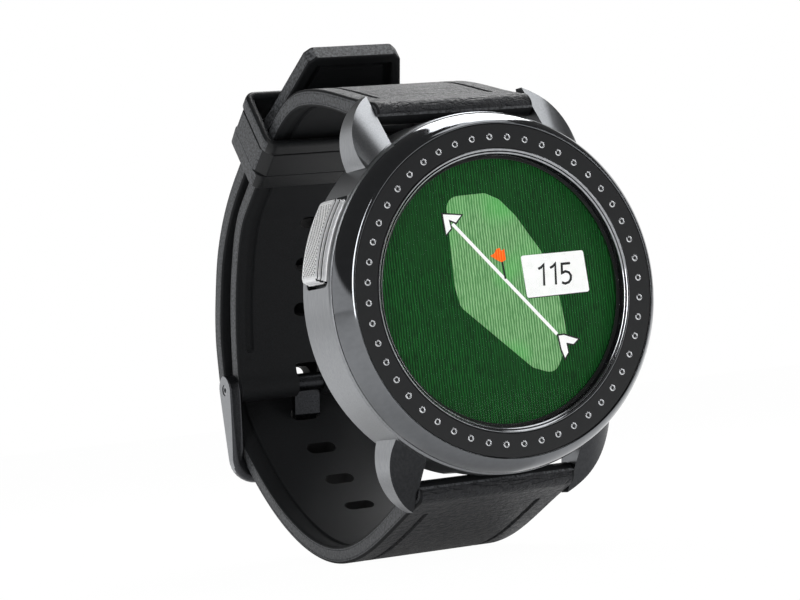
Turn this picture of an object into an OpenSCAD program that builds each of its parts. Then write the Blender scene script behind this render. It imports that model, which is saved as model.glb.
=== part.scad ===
// Golf GPS watch on its buckled rubber strap.
// Every module is drawn on the bench: case axis on +Z, case back on z = 0, 12 o'clock on +Y,
// 3 o'clock on +X. upright() then stands it with 12 o'clock on +Z and the dial facing -Y.

/* [Case] */
// Diameter of the case band
case_d = 44.6; // [43.8:0.1:46]
// Height from the case back to the face of the dial ring
case_h = 13.6; // [13.2:0.1:14.6]
// Wall of the case band
case_wall = 2.3; // [2.1:0.05:2.5]
// Height of the dished back below the straight band
back_dish = 3.0; // [2.7:0.1:3.4]
// Height of the bezel above the straight band
bezel_h = 3.15; // [3:0.05:3.3]
// Thickness of the floor ring that the case back is screwed to
floor_t = 2.0; // [1.8:0.1:2.2]
// Width of the floor ring, inwards from the case wall
floor_w = 4.1; // [3.9:0.1:4.4]

/* [Face] */
// Width of the bezel around the dial ring
bezel_w = 1.9; // [1.8:0.05:2]
// Black border of the lens around the display
lens_border = 0.45; // [0.4:0.05:0.6]
// Thickness of the lens
lens_t = 1.0; // [0.8:0.1:1.1]
// Depth of the lens below the dial ring
lens_sink = 0.15; // [0.1:0.05:0.3]
// Width of the polished trim ring around the lens
trim_w = 0.65; // [0.55:0.05:0.75]
// Width of the black dial ring
dial_w = 2.95; // [2.7:0.05:3.2]
// Thickness of the dial ring
dial_t = 1.2; // [1.1:0.05:1.3]
// Number of studs round the dial ring
stud_count = 48; // [36:12:60]
// Diameter of one stud
stud_d = 0.75; // [0.6:0.05:0.9]
// Thickness of the display panel
display_t = 1.2; // [1:0.1:1.25]

/* [Lugs] */
// Width of the strap gap between the lugs
lug_gap = 22.0; // [21.6:0.1:22.4]
// Reach of the lug tips beyond the case band
lug_out = 3.45; // [3.2:0.05:3.8]
// Radius of a lug's outer side, seen from above
lug_r = 8.1; // [7.8:0.1:8.4]
// Slope of a lug's top face
lug_slope = 38.7; // [36:0.5:41]
// Height of a lug tip's top edge above the case back
lug_tip_z = 3.6; // [3.5:0.05:3.8]
// Height of a lug tip's underside above the case back
lug_foot_z = 2.2; // [2:0.05:2.4]
// Radius of the crown on the outer half of a lug's top
lug_crown_r = 6.3; // [5.5:0.1:8]
// Turn of the crown's line against the strap direction
lug_crown_turn = 11; // [8:1:14]
// Distance of the spring bars from the case band
bar_out = 1.1; // [0.9:0.05:1.2]
// Height of the spring bars above the case back
bar_z = 4.5; // [4.4:0.05:4.6]
// Radius of a spring bar's tube
bar_r = 0.75; // [0.7:0.05:0.8]
// Radius of a spring bar's tips
bar_tip_r = 0.42; // [0.36:0.02:0.46]

/* [Button] */
// Clock angle of the button, from 3 o'clock
button_angle = 158.5; // [155:0.5:162]
// Width of the button along the case band
button_w = 11.2; // [10:0.1:12]
// Height of the button
button_h = 5.5; // [5.2:0.1:5.6]
// Height of the case face above the button's middle
button_drop = 6.65; // [6.6:0.05:6.7]
// How far the button stands out of the band
button_out = 1.0; // [0.8:0.1:1.2]
// Thickness of the button cap
button_t = 1.55; // [1.5:0.05:1.7]
// Travel of the button
button_travel = 0.6; // [0.5:0.05:0.6]
// Radius of the button's stem
stem_r = 0.75; // [0.65:0.05:0.8]

/* [Inside] */
// Thickness of the chassis wall
chassis_wall = 0.9; // [0.8:0.05:1]
// Thickness of the chassis plate under the display
chassis_plate_t = 0.7; // [0.6:0.05:0.8]
// Thickness of the main board
board_t = 0.8; // [0.7:0.05:0.9]
// Height of the tallest chip on the board
chip_h = 0.8; // [0.7:0.05:0.85]
// Width of the GPS receiver can
gps_w = 9; // [8:0.5:9.5]
// Width of the processor
processor_w = 8; // [7:0.5:8.5]
// Depth of both chips
chip_l = 8; // [7:0.5:9]
// Clearance between a chip and the chassis post beside it
chip_gap = 1.6; // [1.2:0.1:1.8]
// Width of the display connector
connector_w = 7.2; // [6.6:0.1:8]
// Depth of the display connector
connector_l = 1.4; // [1.2:0.1:1.6]
// Room beside the battery, up to the floor ring's inner radius
battery_side = 5.9; // [5.4:0.1:7]
// Room above and below the battery, up to the floor ring's inner radius
battery_end = 4.9; // [4.8:0.1:6]
// Thickness of the battery
battery_t = 3.7; // [3.4:0.1:3.8]
// Pitch of the charging contacts
contact_pitch = 3.0; // [2.6:0.1:3.2]

/* [Strap] */
// Width of the strap
strap_w = 21.8; // [21.2:0.1:21.8]
// Thickness of the strap
strap_t = 2.25; // [2:0.05:2.4]
// Radius of the strap's head around a spring bar
head_r = 1.6; // [1.5:0.05:1.7]
// Radius of the strap's eye around the buckle pin
eye_r = 1.9; // [1.8:0.05:2]
// Pitch of the strap slots
slot_pitch = 6.7; // [6.3:0.1:7]
// Length of a slot, across the strap
slot_w = 4.2; // [4.1:0.1:4.6]
// Width of a slot, along the strap
slot_h = 1.8; // [1.8:0.05:2]
// Depth of the grooves in the outer face
groove_depth = 0.35; // [0.2:0.05:0.5]
// Width of the grooves in the outer face
groove_w = 0.6; // [0.4:0.1:0.8]
// Depth of the channels in the inner face
channel_depth = 0.3; // [0.2:0.05:0.4]
// Width of the channels in the inner face
channel_w = 1.1; // [0.8:0.1:1.3]

/* [Loop] */
// Height of the keeper's centre above the case centre
keeper_y = 24.9; // [24.5:0.1:25.2]
// Depth of the keeper's centre behind the case back
keeper_depth = 29.7; // [29.3:0.1:30.1]
// Lean of the strap at the keeper
keeper_lean = 36; // [34:0.5:38]
// Length of the keeper along the strap
keeper_l = 8.3; // [7.8:0.1:8.8]
// Wall of the keeper
keeper_wall = 1.2; // [1.1:0.05:1.3]
// Gap between the two strap layers in the keeper
layer_gap = 1.4; // [1.2:0.1:1.6]
// Free room in the keeper behind the tail
keeper_slack = 1.2; // [1:0.1:1.4]
// Drop of the buckle pin below the case centre
pin_drop = 7.9; // [7.6:0.1:8.2]
// Depth of the buckle pin behind the case back
pin_depth = 46.4; // [46:0.1:46.8]

/* [Buckle] */
// Distance from the buckle pin to the buckle's bar
buckle_reach = 12.0; // [11.8:0.1:12.3]
// Lean of the buckle, away from the wrist
buckle_lean = 1.5; // [1:0.5:3]
// Thickness of a buckle arm
arm_t = 1.6; // [1.5:0.1:1.8]
// Radius of the arm's end around the pin
arm_r = 1.7; // [1.6:0.05:1.8]
// Radius of the buckle's bar
cross_r = 1.15; // [1:0.05:1.2]
// Radius of the buckle's outer corners
buckle_corner_r = 2.6; // [2:0.1:3]
// Radius of the buckle pin
pin_r = 0.75; // [0.7:0.05:0.8]
// Width of the tongue
tongue_w = 3.8; // [3.4:0.1:3.8]
// Thickness of the tongue
tongue_t = 0.9; // [0.8:0.05:1]

/* [Fits] */
// Clearance between parts that are assembled once
seat_fit = 0.05; // [0.04:0.01:0.08]
// Radial clearance of pins and stems that turn or slide
run_fit = 0.05; // [0.03:0.01:0.08]
// Clearance around the button cap
button_fit = 0.2; // [0.15:0.05:0.25]
// Clearance between rubber and the parts beside it
soft_fit = 0.3; // [0.25:0.05:0.35]

/* [Hidden] */

$fn = 72;
eps = 0.01;

// Radii, from the axis outwards
case_r = case_d / 2;
case_in_r = case_r - case_wall;
seat_r = case_r - bezel_w;
dial_r = seat_r - seat_fit;
dial_in_r = dial_r - dial_w;
trim_r = dial_in_r - seat_fit;
trim_in_r = trim_r - trim_w;
lens_r = trim_in_r - seat_fit;
active_r = lens_r - lens_border;
bezel_r = case_r - 0.15;
floor_in_r = case_in_r - floor_w;
lug_reach = case_r + lug_out;
bar_y = case_r + bar_out;
display_r = active_r + 0.65;
skirt_r = display_r + 0.1;
spigot_t = 0.65;
spigot_r = case_in_r - seat_fit;
spigot_in_r = spigot_r - spigot_t;
chassis_r = spigot_in_r - seat_fit;
chassis_in_r = chassis_r - chassis_wall;
board_r = chassis_in_r - 0.15;
trim_flange_r = dial_in_r + 1.2;
back_r = case_in_r - 0.4;
back_boss_r = back_r - 4.1;
back_lip_r = floor_in_r - 0.1;
battery_w = 2 * (floor_in_r - battery_side);
battery_l = 2 * (floor_in_r - battery_end);
battery_corner_r = 1.2;
battery_gap = 0.5;
pad_inset = 3;
contact_block_t = 2.2;
contact_block_end = 1.3;
plunger_r = 0.45;
plunger_rise = 2.1;
antenna_w = 0.55;
pin_head_r = 1.05;

// Heights, from the case back upwards
band_top = case_h - bezel_h;
back_z = 1.0;
floor_z = back_z + 1.2;
floor_top = floor_z + floor_t;
dial_z = case_h - dial_t;
flange_t = 0.8;
flange_z = dial_z - flange_t;
trim_flange_t = 0.5;
trim_z = flange_z - trim_flange_t;
lens_z = case_h - lens_sink - lens_t;
lens_gasket_t = 0.15;
ledge_t = 0.4;
ledge_z = lens_z - lens_gasket_t - ledge_t;
display_z = ledge_z - seat_fit - display_t;
plate_z = display_z - chassis_plate_t;
board_z = plate_z - chip_h - 0.15 - board_t;
battery_z = board_z - 0.1 - battery_t;
groove_gap = 0.2;
button_z = case_h - button_drop;

// Button line: the button is drawn along +X and then turned to its clock angle
cap_r = case_r + button_out;
cap_in_r = cap_r - button_t;
pocket_r = cap_in_r - button_travel - seat_fit;
boss_in_r = case_in_r - 1.4;
chamber_r = stem_r + 0.6;
chamber_in_r = boss_in_r + 1.3;
guide_r = stem_r + run_fit;
clip_t = 0.3;
clip_r = stem_r + 0.3;
stem_in_r = boss_in_r - seat_fit - clip_t - 0.6;
switch_tip_r = stem_in_r - button_travel - seat_fit;
spring_wire_r = 0.13;

// Strap, keeper and buckle, in the (y, z) plane
strap_half_w = strap_w / 2;
layer_offset = (layer_gap + strap_t) / 2;
keeper_in_d = 2 * strap_t + layer_gap + keeper_slack + 2 * soft_fit;
keeper_half_w = strap_half_w + 0.2 + keeper_wall;
keeper_dir = heading(-keeper_lean);
keeper_out = [cos(keeper_lean), -sin(keeper_lean)];
keeper_mid = [keeper_y, -keeper_depth];
pin_mid = [-pin_drop, -pin_depth];
eye_bore_r = pin_r + run_fit;
arm_in_x = strap_half_w + 0.25;
arm_out_x = arm_in_x + arm_t;
barrel_r = eye_bore_r + 0.45;
barrel_w = 4.0;
notch_w = barrel_w + 0.3;
cross_mid = pin_mid - buckle_reach * [cos(buckle_lean), sin(buckle_lean)];
slot_mid = pin_mid + [-5.1, -(eye_r + 0.1 + strap_t / 2)];
slot_angle = 55;

// ---------- shared shapes ----------

module upright() { rotate([90, 0, 0]) children(); }

// A ring of rectangular section
module ring(r_out, r_in, z0, z1) {
    translate([0, 0, z0]) difference() {
        cylinder(r = r_out, h = z1 - z0);
        translate([0, 0, -eps]) cylinder(r = r_in, h = z1 - z0 + 2 * eps);
    }
}

// A cylinder along +X from x0 to x1 at height z
module rod_x(r, x0, x1, y = 0, z = 0) {
    translate([x0, y, z]) rotate([0, 90, 0]) cylinder(r = r, h = x1 - x0);
}

// A box given by its middle in x and y and its lowest z
module block(size, at) {
    translate([at[0] - size[0] / 2, at[1] - size[1] / 2, at[2]]) cube(size);
}

// Rounded rectangle made of squares and true circles
module rounded_rect(w, h, r) {
    square([w - 2 * r, h], center = true);
    square([w, h - 2 * r], center = true);
    for (sx = [-1, 1], sy = [-1, 1]) translate([sx * (w / 2 - r), sy * (h / 2 - r)]) circle(r = r);
}

// Points of an arc from p to q that bulges to the left of p -> q by sag
function bulge(p, q, sag, n = 8) =
    let (d = q - p, l = norm(d), side = [-d[1], d[0]] / l, big_r = l * l / (8 * sag) + sag / 2,
         mid = (p + q) / 2 - side * (big_r - sag), half = asin(l / (2 * big_r)), u = d / l)
    [for (i = [0 : n]) let (a = half * (2 * i / n - 1)) mid + big_r * (cos(a) * side + sin(a) * u)];

// Unit direction in (y, z) of a strap that runs back from the case and leans up by a degrees
function heading(a) = [sin(a), -cos(a)];

// Smooth curve through stations [y, z, heading], each joined to the next with matching directions
function curve(stations, steps = 12) = [
    for (k = [0 : len(stations) - 2])
        let (p = [stations[k][0], stations[k][1]], q = [stations[k + 1][0], stations[k + 1][1]],
             m = norm(q - p), pd = heading(stations[k][2]) * m, qd = heading(stations[k + 1][2]) * m)
        for (i = [0 : (k == len(stations) - 2 ? steps : steps - 1)])
            let (t = i / steps, t2 = t * t, t3 = t2 * t)
            (2 * t3 - 3 * t2 + 1) * p + (t3 - 2 * t2 + t) * pd + (3 * t2 - 2 * t3) * q + (t3 - t2) * qd];

function tangent(path, i) =
    let (a = path[max(i - 1, 0)], b = path[min(i + 1, len(path) - 1)]) (b - a) / norm(b - a);
function across(path, i) = let (t = tangent(path, i)) [-t[1], t[0]];
function lengths(path, i = 0, sum = 0, out = []) =
    i >= len(path) ? out
    : let (s = i == 0 ? 0 : sum + norm(path[i] - path[i - 1])) lengths(path, i + 1, s, concat(out, [s]));

// Index of the path point that lies nearest to p
function nearest(path, p) =
    let (d = [for (q = path) norm(q - p)], m = min(d)) [for (i = [0 : len(d) - 1]) if (d[i] == m) i][0];

// Point and direction at a length s along a path: [y, z, tangent y, tangent z]
function station(path, runs, s) =
    let (i = max([for (k = [0 : len(path) - 2]) if (runs[k] <= s) k]), f = (s - runs[i]) / (runs[i + 1] - runs[i]),
         p = path[i] + (path[i + 1] - path[i]) * f, t = (path[i + 1] - path[i]) / norm(path[i + 1] - path[i]))
    [p[0], p[1], t[0], t[1]];

// Closed outline of a band along a path; lift and drop are its sides' distances from the path
function band(path, lift, drop) = concat(
    [for (i = [0 : len(path) - 1]) path[i] + across(path, i) * lift[i]],
    [for (i = [len(path) - 1 : -1 : 0]) path[i] - across(path, i) * drop[i]]);

// Extrudes an outline in (y, z) across the watch, from x0 to x1
module across_x(x0, x1) {
    translate([x0, 0, 0]) rotate([90, 0, 90]) linear_extrude(height = x1 - x0) children();
}

// Places a child, drawn in (x across, y along, z out of the strap), at a station of a path
module at_station(s) {
    translate([0, s[0], s[1]]) rotate([atan2(s[3], s[2]), 0, 0]) children();
}

// ---------- case ----------

module band_profile() {
    polygon([[back_r + seat_fit, floor_z], [back_r + seat_fit, back_z + 0.5], [case_r - 1.4, back_z + 0.5],
             [case_r, back_dish], [case_r, band_top - 0.25], [case_r - 0.25, band_top],
             [case_in_r, band_top], [case_in_r, floor_top], [floor_in_r, floor_top], [floor_in_r, floor_z]]);
}

// One horn lug at the upper right, bounded by the strap gap, a round outer side, a sloping top whose
// outer half is crowned, and an underside that bends towards the wrist
module lug() {
    gap_x = lug_gap / 2;
    side_x = gap_x - 3.75;
    side_y = lug_reach - sqrt(lug_r * lug_r - 3.75 * 3.75);
    intersection() {
        translate([side_x, side_y, 0]) cylinder(r = lug_r, h = band_top);
        translate([gap_x, case_r * 0.55, 0]) cube([20, 40, band_top - 0.05]);
        translate([0, lug_reach, lug_foot_z - 0.15]) rotate([-12, 0, 0]) translate([0, -30, 0]) cube([40, 31, 30]);
        translate([gap_x + 2.2, lug_reach, lug_tip_z]) rotate([-lug_slope, 0, 0]) rotate([0, 0, -lug_crown_turn]) union() {
            translate([-40, -30, -30]) cube([40, 40, 30]);
            translate([0, 10, -lug_crown_r]) rotate([90, 0, 0]) cylinder(r = lug_crown_r, h = 40);
            translate([-40, -30, -30]) cube([80, 40, 30 - lug_crown_r]);
        }
    }
}

module mid_case() {
    color("#5d5f62") upright() difference() {
        union() {
            rotate_extrude($fn = 180) band_profile();
            difference() {
                for (mx = [0, 1], my = [0, 1]) mirror([mx, 0, 0]) mirror([0, my, 0]) lug();
                translate([0, 0, -1]) cylinder(r = case_r - 0.4, h = case_h + 2, $fn = 180);
            }
            rotate([0, 0, button_angle]) intersection() {
                translate([boss_in_r, -2.2, button_z - 2.3]) cube([3, 4.4, 4.6]);
                cylinder(r = case_in_r + 0.4, h = case_h);
            }
        }
        for (my = [0, 1]) mirror([0, my, 0])
            translate([-lug_gap / 2, bar_y - head_r - soft_fit, 0]) cube([lug_gap, 5, bar_z + head_r + soft_fit]);
        ring(case_in_r + 1.15, case_in_r + 0.5, band_top - 0.5, band_top + eps);
        ring(floor_in_r + 0.9, floor_in_r + 0.2, floor_z - eps, floor_z + 0.6);
        for (a = [45 : 90 : 315]) rotate([0, 0, a])
            translate([floor_in_r + 2, 0, floor_z - eps]) cylinder(r = 0.72, h = floor_t - 0.15, $fn = 32);
        rotate([0, 0, button_angle]) button_cuts();
        for (sy = [-1, 1], sx = [-1, 1])
            rod_x(bar_tip_r + run_fit, sx > 0 ? lug_gap / 2 - 0.5 : -lug_gap / 2 - 1.2,
                  sx > 0 ? lug_gap / 2 + 1.2 : -lug_gap / 2 + 0.5, sy * bar_y, bar_z);
    }
}

// Pocket for the cap, chamber for the spring and bore for the stem
module button_cuts() {
    w = button_w + 2 * button_fit;
    h = button_h + 2 * button_fit;
    intersection() {
        translate([pocket_r - 2, 0, button_z]) rotate([90, 0, 90]) linear_extrude(height = 7) rounded_rect(w, h, 0.8);
        ring(case_r + 2, pocket_r, 0, case_h);
    }
    rod_x(chamber_r, chamber_in_r, pocket_r + eps, 0, button_z);
    rod_x(guide_r, boss_in_r - 1, chamber_in_r + eps, 0, button_z);
}

module bezel() {
    rim = [seat_r + 0.25, case_h + 0.1];
    foot = [bezel_r, band_top + groove_gap + 0.15];
    color("#3b3c3f") upright() rotate_extrude($fn = 180) polygon(concat(
        [[dial_in_r, flange_z], [spigot_in_r, flange_z], [spigot_in_r, band_top - 0.85],
         [spigot_r, band_top - 0.85], [spigot_r, band_top], [case_r - 0.6, band_top],
         [case_r - 0.6, band_top + groove_gap], [bezel_r - 0.12, band_top + groove_gap]],
        bulge(foot, rim, -0.23),
        [[seat_r, case_h], [seat_r, dial_z], [dial_in_r, dial_z]]));
}

module bezel_gasket() {
    color("#1b1b1c") upright() ring(case_in_r + 1.1, case_in_r + 0.55, band_top - 0.5, band_top);
}

module dial_ring() {
    color("#26272a") upright() difference() {
        ring(dial_r, dial_in_r, dial_z, case_h);
        for (i = [0 : stud_count - 1]) rotate([0, 0, i * 360 / stud_count])
            translate([dial_in_r + dial_w / 2 - 0.12, 0, case_h - 0.35]) cylinder(r = stud_d / 2, h = 1, $fn = 16);
    }
}

// Polished cups with a dark centre, pressed into the dial ring
module dial_studs() {
    color("#a9abae") upright() for (i = [0 : stud_count - 1]) rotate([0, 0, i * 360 / stud_count])
        translate([dial_in_r + dial_w / 2 - 0.12, 0, case_h - 0.35]) difference() {
            cylinder(r = stud_d / 2, h = 0.43, $fn = 16);
            translate([0, 0, 0.3]) cylinder(r = stud_d / 4, h = 0.2, $fn = 16);
        }
}

module trim_ring() {
    color("#8d9094") upright() rotate_extrude($fn = 180) polygon([
        [skirt_r, trim_z], [trim_flange_r, trim_z], [trim_flange_r, flange_z], [trim_r, flange_z],
        [trim_r, case_h], [trim_r - 0.2, case_h + 0.12], [trim_in_r + 0.15, case_h + 0.12],
        [trim_in_r, case_h], [trim_in_r, ledge_z + ledge_t], [active_r + 0.05, ledge_z + ledge_t],
        [active_r + 0.05, ledge_z], [skirt_r, ledge_z]]);
}

module lens() {
    color("#22282a", 0.4) upright() ring_disc(lens_r, lens_z, lens_z + lens_t);
}

module ring_disc(r, z0, z1) {
    translate([0, 0, z0]) cylinder(r = r, h = z1 - z0, $fn = 180);
}

module lens_gasket() {
    color("#1b1b1c") upright() ring(lens_r, active_r + 0.1, lens_z - lens_gasket_t, lens_z);
}

// ---------- electronics ----------

flex_y = -(active_r - 2.2);

module display_panel() {
    color("#0f4a20") upright() ring_disc(display_r, display_z, display_z + display_t);
}

// Ribbon from the display down to its connector
module display_flex() {
    top = display_z;
    low = board_z + board_t + 0.4;
    color("#b5722a") upright() translate([0, flex_y, 0]) across_x(-3, 3)
        polygon([[1.3, top], [1.3, top - 0.2], [0.1, top - 0.2], [0.1, low], [-0.1, low], [-0.1, top]]);
}

module chassis() {
    color("#303236") upright() difference() {
        union() {
            ring(chassis_r, chassis_in_r, floor_top, display_z);
            ring_disc(chassis_r, plate_z, display_z);
            ring(trim_flange_r, skirt_r + 0.4, display_z - eps, trim_z);
            for (a = post_angles) rotate([0, 0, a])
                translate([post_r, 0, board_z + board_t]) cylinder(r = post_boss_r, h = plate_z - board_z - board_t + eps);
        }
        for (a = post_angles) rotate([0, 0, a])
            translate([post_r, 0, board_z]) cylinder(r = 0.52, h = display_z - board_z - 0.15, $fn = 32);
        block([8, 2.6, 3], [0, flex_y + 0.3, plate_z - 1]);
        rotate([0, 0, button_angle]) translate([chassis_in_r - 2, -2.6, floor_top - 1])
            cube([6, 5.2, plate_z - floor_top + 1]);
        block([1.8, 3, 4], [0, chassis_r - 1.1, board_z + board_t - 0.05]);
    }
}

post_angles = [35, 145, 270];
post_r = board_r - 1.8;
post_boss_r = 1.3;

module main_board() {
    color("#1f4d33") upright() difference() {
        ring_disc(board_r, board_z, board_z + board_t);
        for (a = post_angles) rotate([0, 0, a])
            translate([post_r, 0, board_z - 1]) cylinder(r = 0.55, h = 3, $fn = 32);
    }
}

module board_screws() {
    color("#c3c5c8") upright() for (a = post_angles) rotate([0, 0, a]) translate([post_r, 0, board_z]) {
        translate([0, 0, -0.5]) cylinder(r = 1.0, h = 0.5, $fn = 32);
        translate([0, 0, -eps]) cylinder(r = 0.5, h = board_t + 0.8, $fn = 32);
    }
}

chip_side = post_r * cos(post_angles[0]) - post_boss_r - chip_gap;

module gps_module() {
    color("#b9bbbd") upright() block([gps_w, chip_l, chip_h], [gps_w / 2 - chip_side, 5, board_z + board_t]);
}

module processor() {
    color("#222325") upright() block([processor_w, chip_l, chip_h], [chip_side - processor_w / 2, 4, board_z + board_t]);
}

module display_connector() {
    color("#d8cfae") upright() block([connector_w, connector_l, 0.4], [0, flex_y, board_z + board_t]);
}

// Antenna strip on the chassis rim at 12 o'clock, with a foot on the board
module gps_antenna() {
    r_out = chassis_r - 0.05;
    r_in = r_out - antenna_w;
    low = board_z + board_t;
    color("#c9a24a") upright() union() {
        intersection() {
            ring(r_out, r_in, display_z, flange_z - 0.1);
            linear_extrude(height = 40) polygon([[0, 0], [-30, 30], [30, 30]]);
        }
        block([1.2, 0.5, display_z - low + 0.2], [0, r_out - 0.3, low]);
        block([1.2, 2.2, 0.3], [0, r_out - 1.15, low]);
    }
}

module side_switch() {
    color("#2b2b2c") upright() rotate([0, 0, button_angle]) {
        translate([switch_tip_r - 2.0, -1.8, button_z - 1.1]) cube([1.6, 3.6, board_z - button_z + 1.1]);
        rod_x(0.6, switch_tip_r - 0.5, switch_tip_r, 0, button_z);
    }
}

module battery() {
    color("#9aa0a6") upright() translate([1, 0, battery_z])
        linear_extrude(height = battery_t) rounded_rect(battery_w, battery_l, battery_corner_r);
}

module battery_pad() {
    color("#4a4c50") upright() block([battery_w - 2 * pad_inset, battery_l - 2 * pad_inset, battery_z - floor_z],
                                     [1, 0, floor_z]);
}

contact_y = -(battery_l / 2 + battery_gap + contact_block_t / 2);
contact_x = [for (i = [-1.5 : 1 : 1.5]) i * contact_pitch];

module contact_block() {
    color("#202124") upright() difference() {
        block([3 * contact_pitch + 2 * contact_block_end, contact_block_t, board_z - battery_z],
              [0, contact_y, battery_z]);
        for (x = contact_x) translate([x, contact_y, battery_z - 1])
            cylinder(r = plunger_r + run_fit, h = 1 + plunger_rise, $fn = 24);
    }
}

module contact_plungers() {
    color("#d7b45a") upright() for (x = contact_x) translate([x, contact_y, floor_z + 0.7])
        cylinder(r = plunger_r, h = battery_z + plunger_rise - floor_z - 0.7, $fn = 24);
}

module charge_pins() {
    color("#d7b45a") upright() for (x = contact_x) translate([x, contact_y, 0]) {
        translate([0, 0, 0.1]) cylinder(r = 0.8, h = floor_z - 0.1, $fn = 32);
        translate([0, 0, floor_z]) cylinder(r = pin_head_r, h = 0.7, $fn = 32);
    }
}

// ---------- case back ----------

module case_back() {
    color("#3e4043") upright() difference() {
        rotate_extrude($fn = 180) polygon([[0, 0], [back_boss_r - 0.8, 0], [back_boss_r, back_z], [back_r - 0.3, back_z],
            [back_r, back_z + 0.3], [back_r, floor_z], [back_lip_r, floor_z], [back_lip_r, floor_z + 0.8],
            [back_lip_r - 1.0, floor_z + 0.8], [back_lip_r - 1.0, floor_z], [0, floor_z]]);
        for (x = contact_x) translate([x, contact_y, 0]) {
            translate([0, 0, -1]) cylinder(r = 0.82, h = 6, $fn = 32);
            translate([0, 0, floor_z]) cylinder(r = pin_head_r + 0.2, h = 3, $fn = 32);
        }
        for (a = [45 : 90 : 315]) rotate([0, 0, a]) translate([floor_in_r + 2, 0, 0]) {
            cylinder(r = 0.75, h = 4, $fn = 32);
            cylinder(r = 1.25, h = back_z + 0.65, $fn = 32);
        }
    }
}

module back_gasket() {
    color("#1b1b1c") upright() ring(floor_in_r + 0.85, floor_in_r + 0.25, floor_z, floor_z + 0.6);
}

module back_screws() {
    color("#8b8d90") upright() for (a = [45 : 90 : 315]) rotate([0, 0, a]) translate([floor_in_r + 2, 0, 0])
        difference() {
            union() {
                translate([0, 0, back_z + 0.05]) cylinder(r = 1.15, h = 0.6, $fn = 32);
                translate([0, 0, back_z + 0.6]) cylinder(r = 0.7, h = floor_top - 0.3 - back_z - 0.6, $fn = 32);
            }
            for (k = [0, 90]) rotate([0, 0, k]) block([1.3, 0.3, 0.4], [0, 0, back_z - 0.1]);
        }
}

// ---------- button ----------

module button_cap() {
    color("#c9cbcd") upright() rotate([0, 0, button_angle]) difference() {
        intersection() {
            translate([cap_in_r - 1, 0, button_z]) rotate([90, 0, 90])
                linear_extrude(height = 4) rounded_rect(button_w, button_h, 0.7);
            translate([0, 0, button_z]) rotate_extrude($fn = 180) polygon([
                [cap_in_r, -button_h / 2], [cap_r - 0.7, -button_h / 2], [cap_r, -button_h / 2 + 0.6],
                [cap_r, button_h / 2 - 0.6], [cap_r - 0.7, button_h / 2], [cap_in_r, button_h / 2]]);
        }
        rod_x(stem_r, cap_in_r - 1, cap_in_r + 0.7, 0, button_z);
    }
}

module button_stem() {
    color("#9fa1a4") upright() rotate([0, 0, button_angle]) difference() {
        rod_x(stem_r, stem_in_r, cap_in_r + 0.7, 0, button_z);
        translate([seal_r - 0.2, 0, button_z]) rotate([0, 90, 0]) ring(stem_r + 1, stem_r - 0.33, 0, 0.4);
        translate([boss_in_r - seat_fit - clip_t, 0, button_z]) rotate([0, 90, 0])
            ring(stem_r + 1, stem_r - 0.3, 0, clip_t);
    }
}

seal_r = chamber_in_r - 0.45;

module button_o_ring() {
    color("#1b1b1c") upright() rotate([0, 0, button_angle]) translate([seal_r, 0, button_z]) rotate([0, 90, 0])
        rotate_extrude($fn = 48) translate([stem_r - 0.13, 0]) circle(r = 0.17, $fn = 24);
}

// Open retaining clip behind the case wall
module button_clip() {
    color("#b9bbbd") upright() rotate([0, 0, button_angle])
        translate([boss_in_r - seat_fit - clip_t, 0, button_z]) rotate([0, 90, 0]) difference() {
            ring(clip_r, stem_r - 0.28, 0, clip_t);
            translate([0, -0.3, -1]) cube([3, 0.6, 3]);
        }
}

module button_spring() {
    color("#d0d2d4") upright() rotate([0, 0, button_angle])
        translate([chamber_in_r + spring_wire_r, 0, button_z]) rotate([0, 90, 0])
            coil(stem_r + 0.3, spring_wire_r, cap_in_r - chamber_in_r - 2 * spring_wire_r, 4, 16);
}

// Helical wire along +Z, made as one swept tube with six sides
module coil(r, wire_r, h, turns, per_turn) {
    n = turns * per_turn;
    sides = 6;
    rings = [for (i = [0 : n]) let (a = 360 * i / per_turn, m = [r * cos(a), r * sin(a), h * i / n])
        for (k = [0 : sides - 1]) let (b = 360 * k / sides)
            m + [cos(a) * wire_r * cos(b), sin(a) * wire_r * cos(b), wire_r * sin(b)]];
    faces = concat([[for (k = [0 : sides - 1]) k]], [[for (k = [sides - 1 : -1 : 0]) n * sides + k]],
        [for (i = [0 : n - 1], k = [0 : sides - 1])
            [i * sides + k, (i + 1) * sides + k, (i + 1) * sides + (k + 1) % sides, i * sides + (k + 1) % sides]]);
    polyhedron(rings, faces, convexity = 10);
}

// ---------- spring bars ----------

tube_x = lug_gap / 2 - 0.9;

module spring_bar_tubes() {
    color("#b9bbbd") upright() for (sy = [-1, 1]) difference() {
        rod_x(bar_r, -tube_x, tube_x, sy * bar_y, bar_z);
        rod_x(bar_tip_r + 0.12, -tube_x + 0.5, tube_x - 0.5, sy * bar_y, bar_z);
        rod_x(bar_tip_r + 0.02, -tube_x - 1, tube_x + 1, sy * bar_y, bar_z);
    }
}

module spring_bar_tips() {
    color("#d0d2d4") upright() for (sy = [-1, 1], sx = [0, 1]) mirror([sx, 0, 0]) {
        rod_x(bar_tip_r, tube_x - 1.3, lug_gap / 2 + 1.1, sy * bar_y, bar_z);
        rod_x(bar_tip_r + 0.1, tube_x - 1.4, tube_x - 0.55, sy * bar_y, bar_z);
    }
}

module spring_bar_springs() {
    spring_x = tube_x - 1.4;
    color("#d0d2d4") upright() for (sy = [-1, 1])
        translate([-spring_x + 0.08, sy * bar_y, bar_z]) rotate([0, 90, 0])
            coil(bar_tip_r - 0.06, 0.08, 2 * spring_x - 0.16, 8, 8);
}

// ---------- strap ----------

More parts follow.
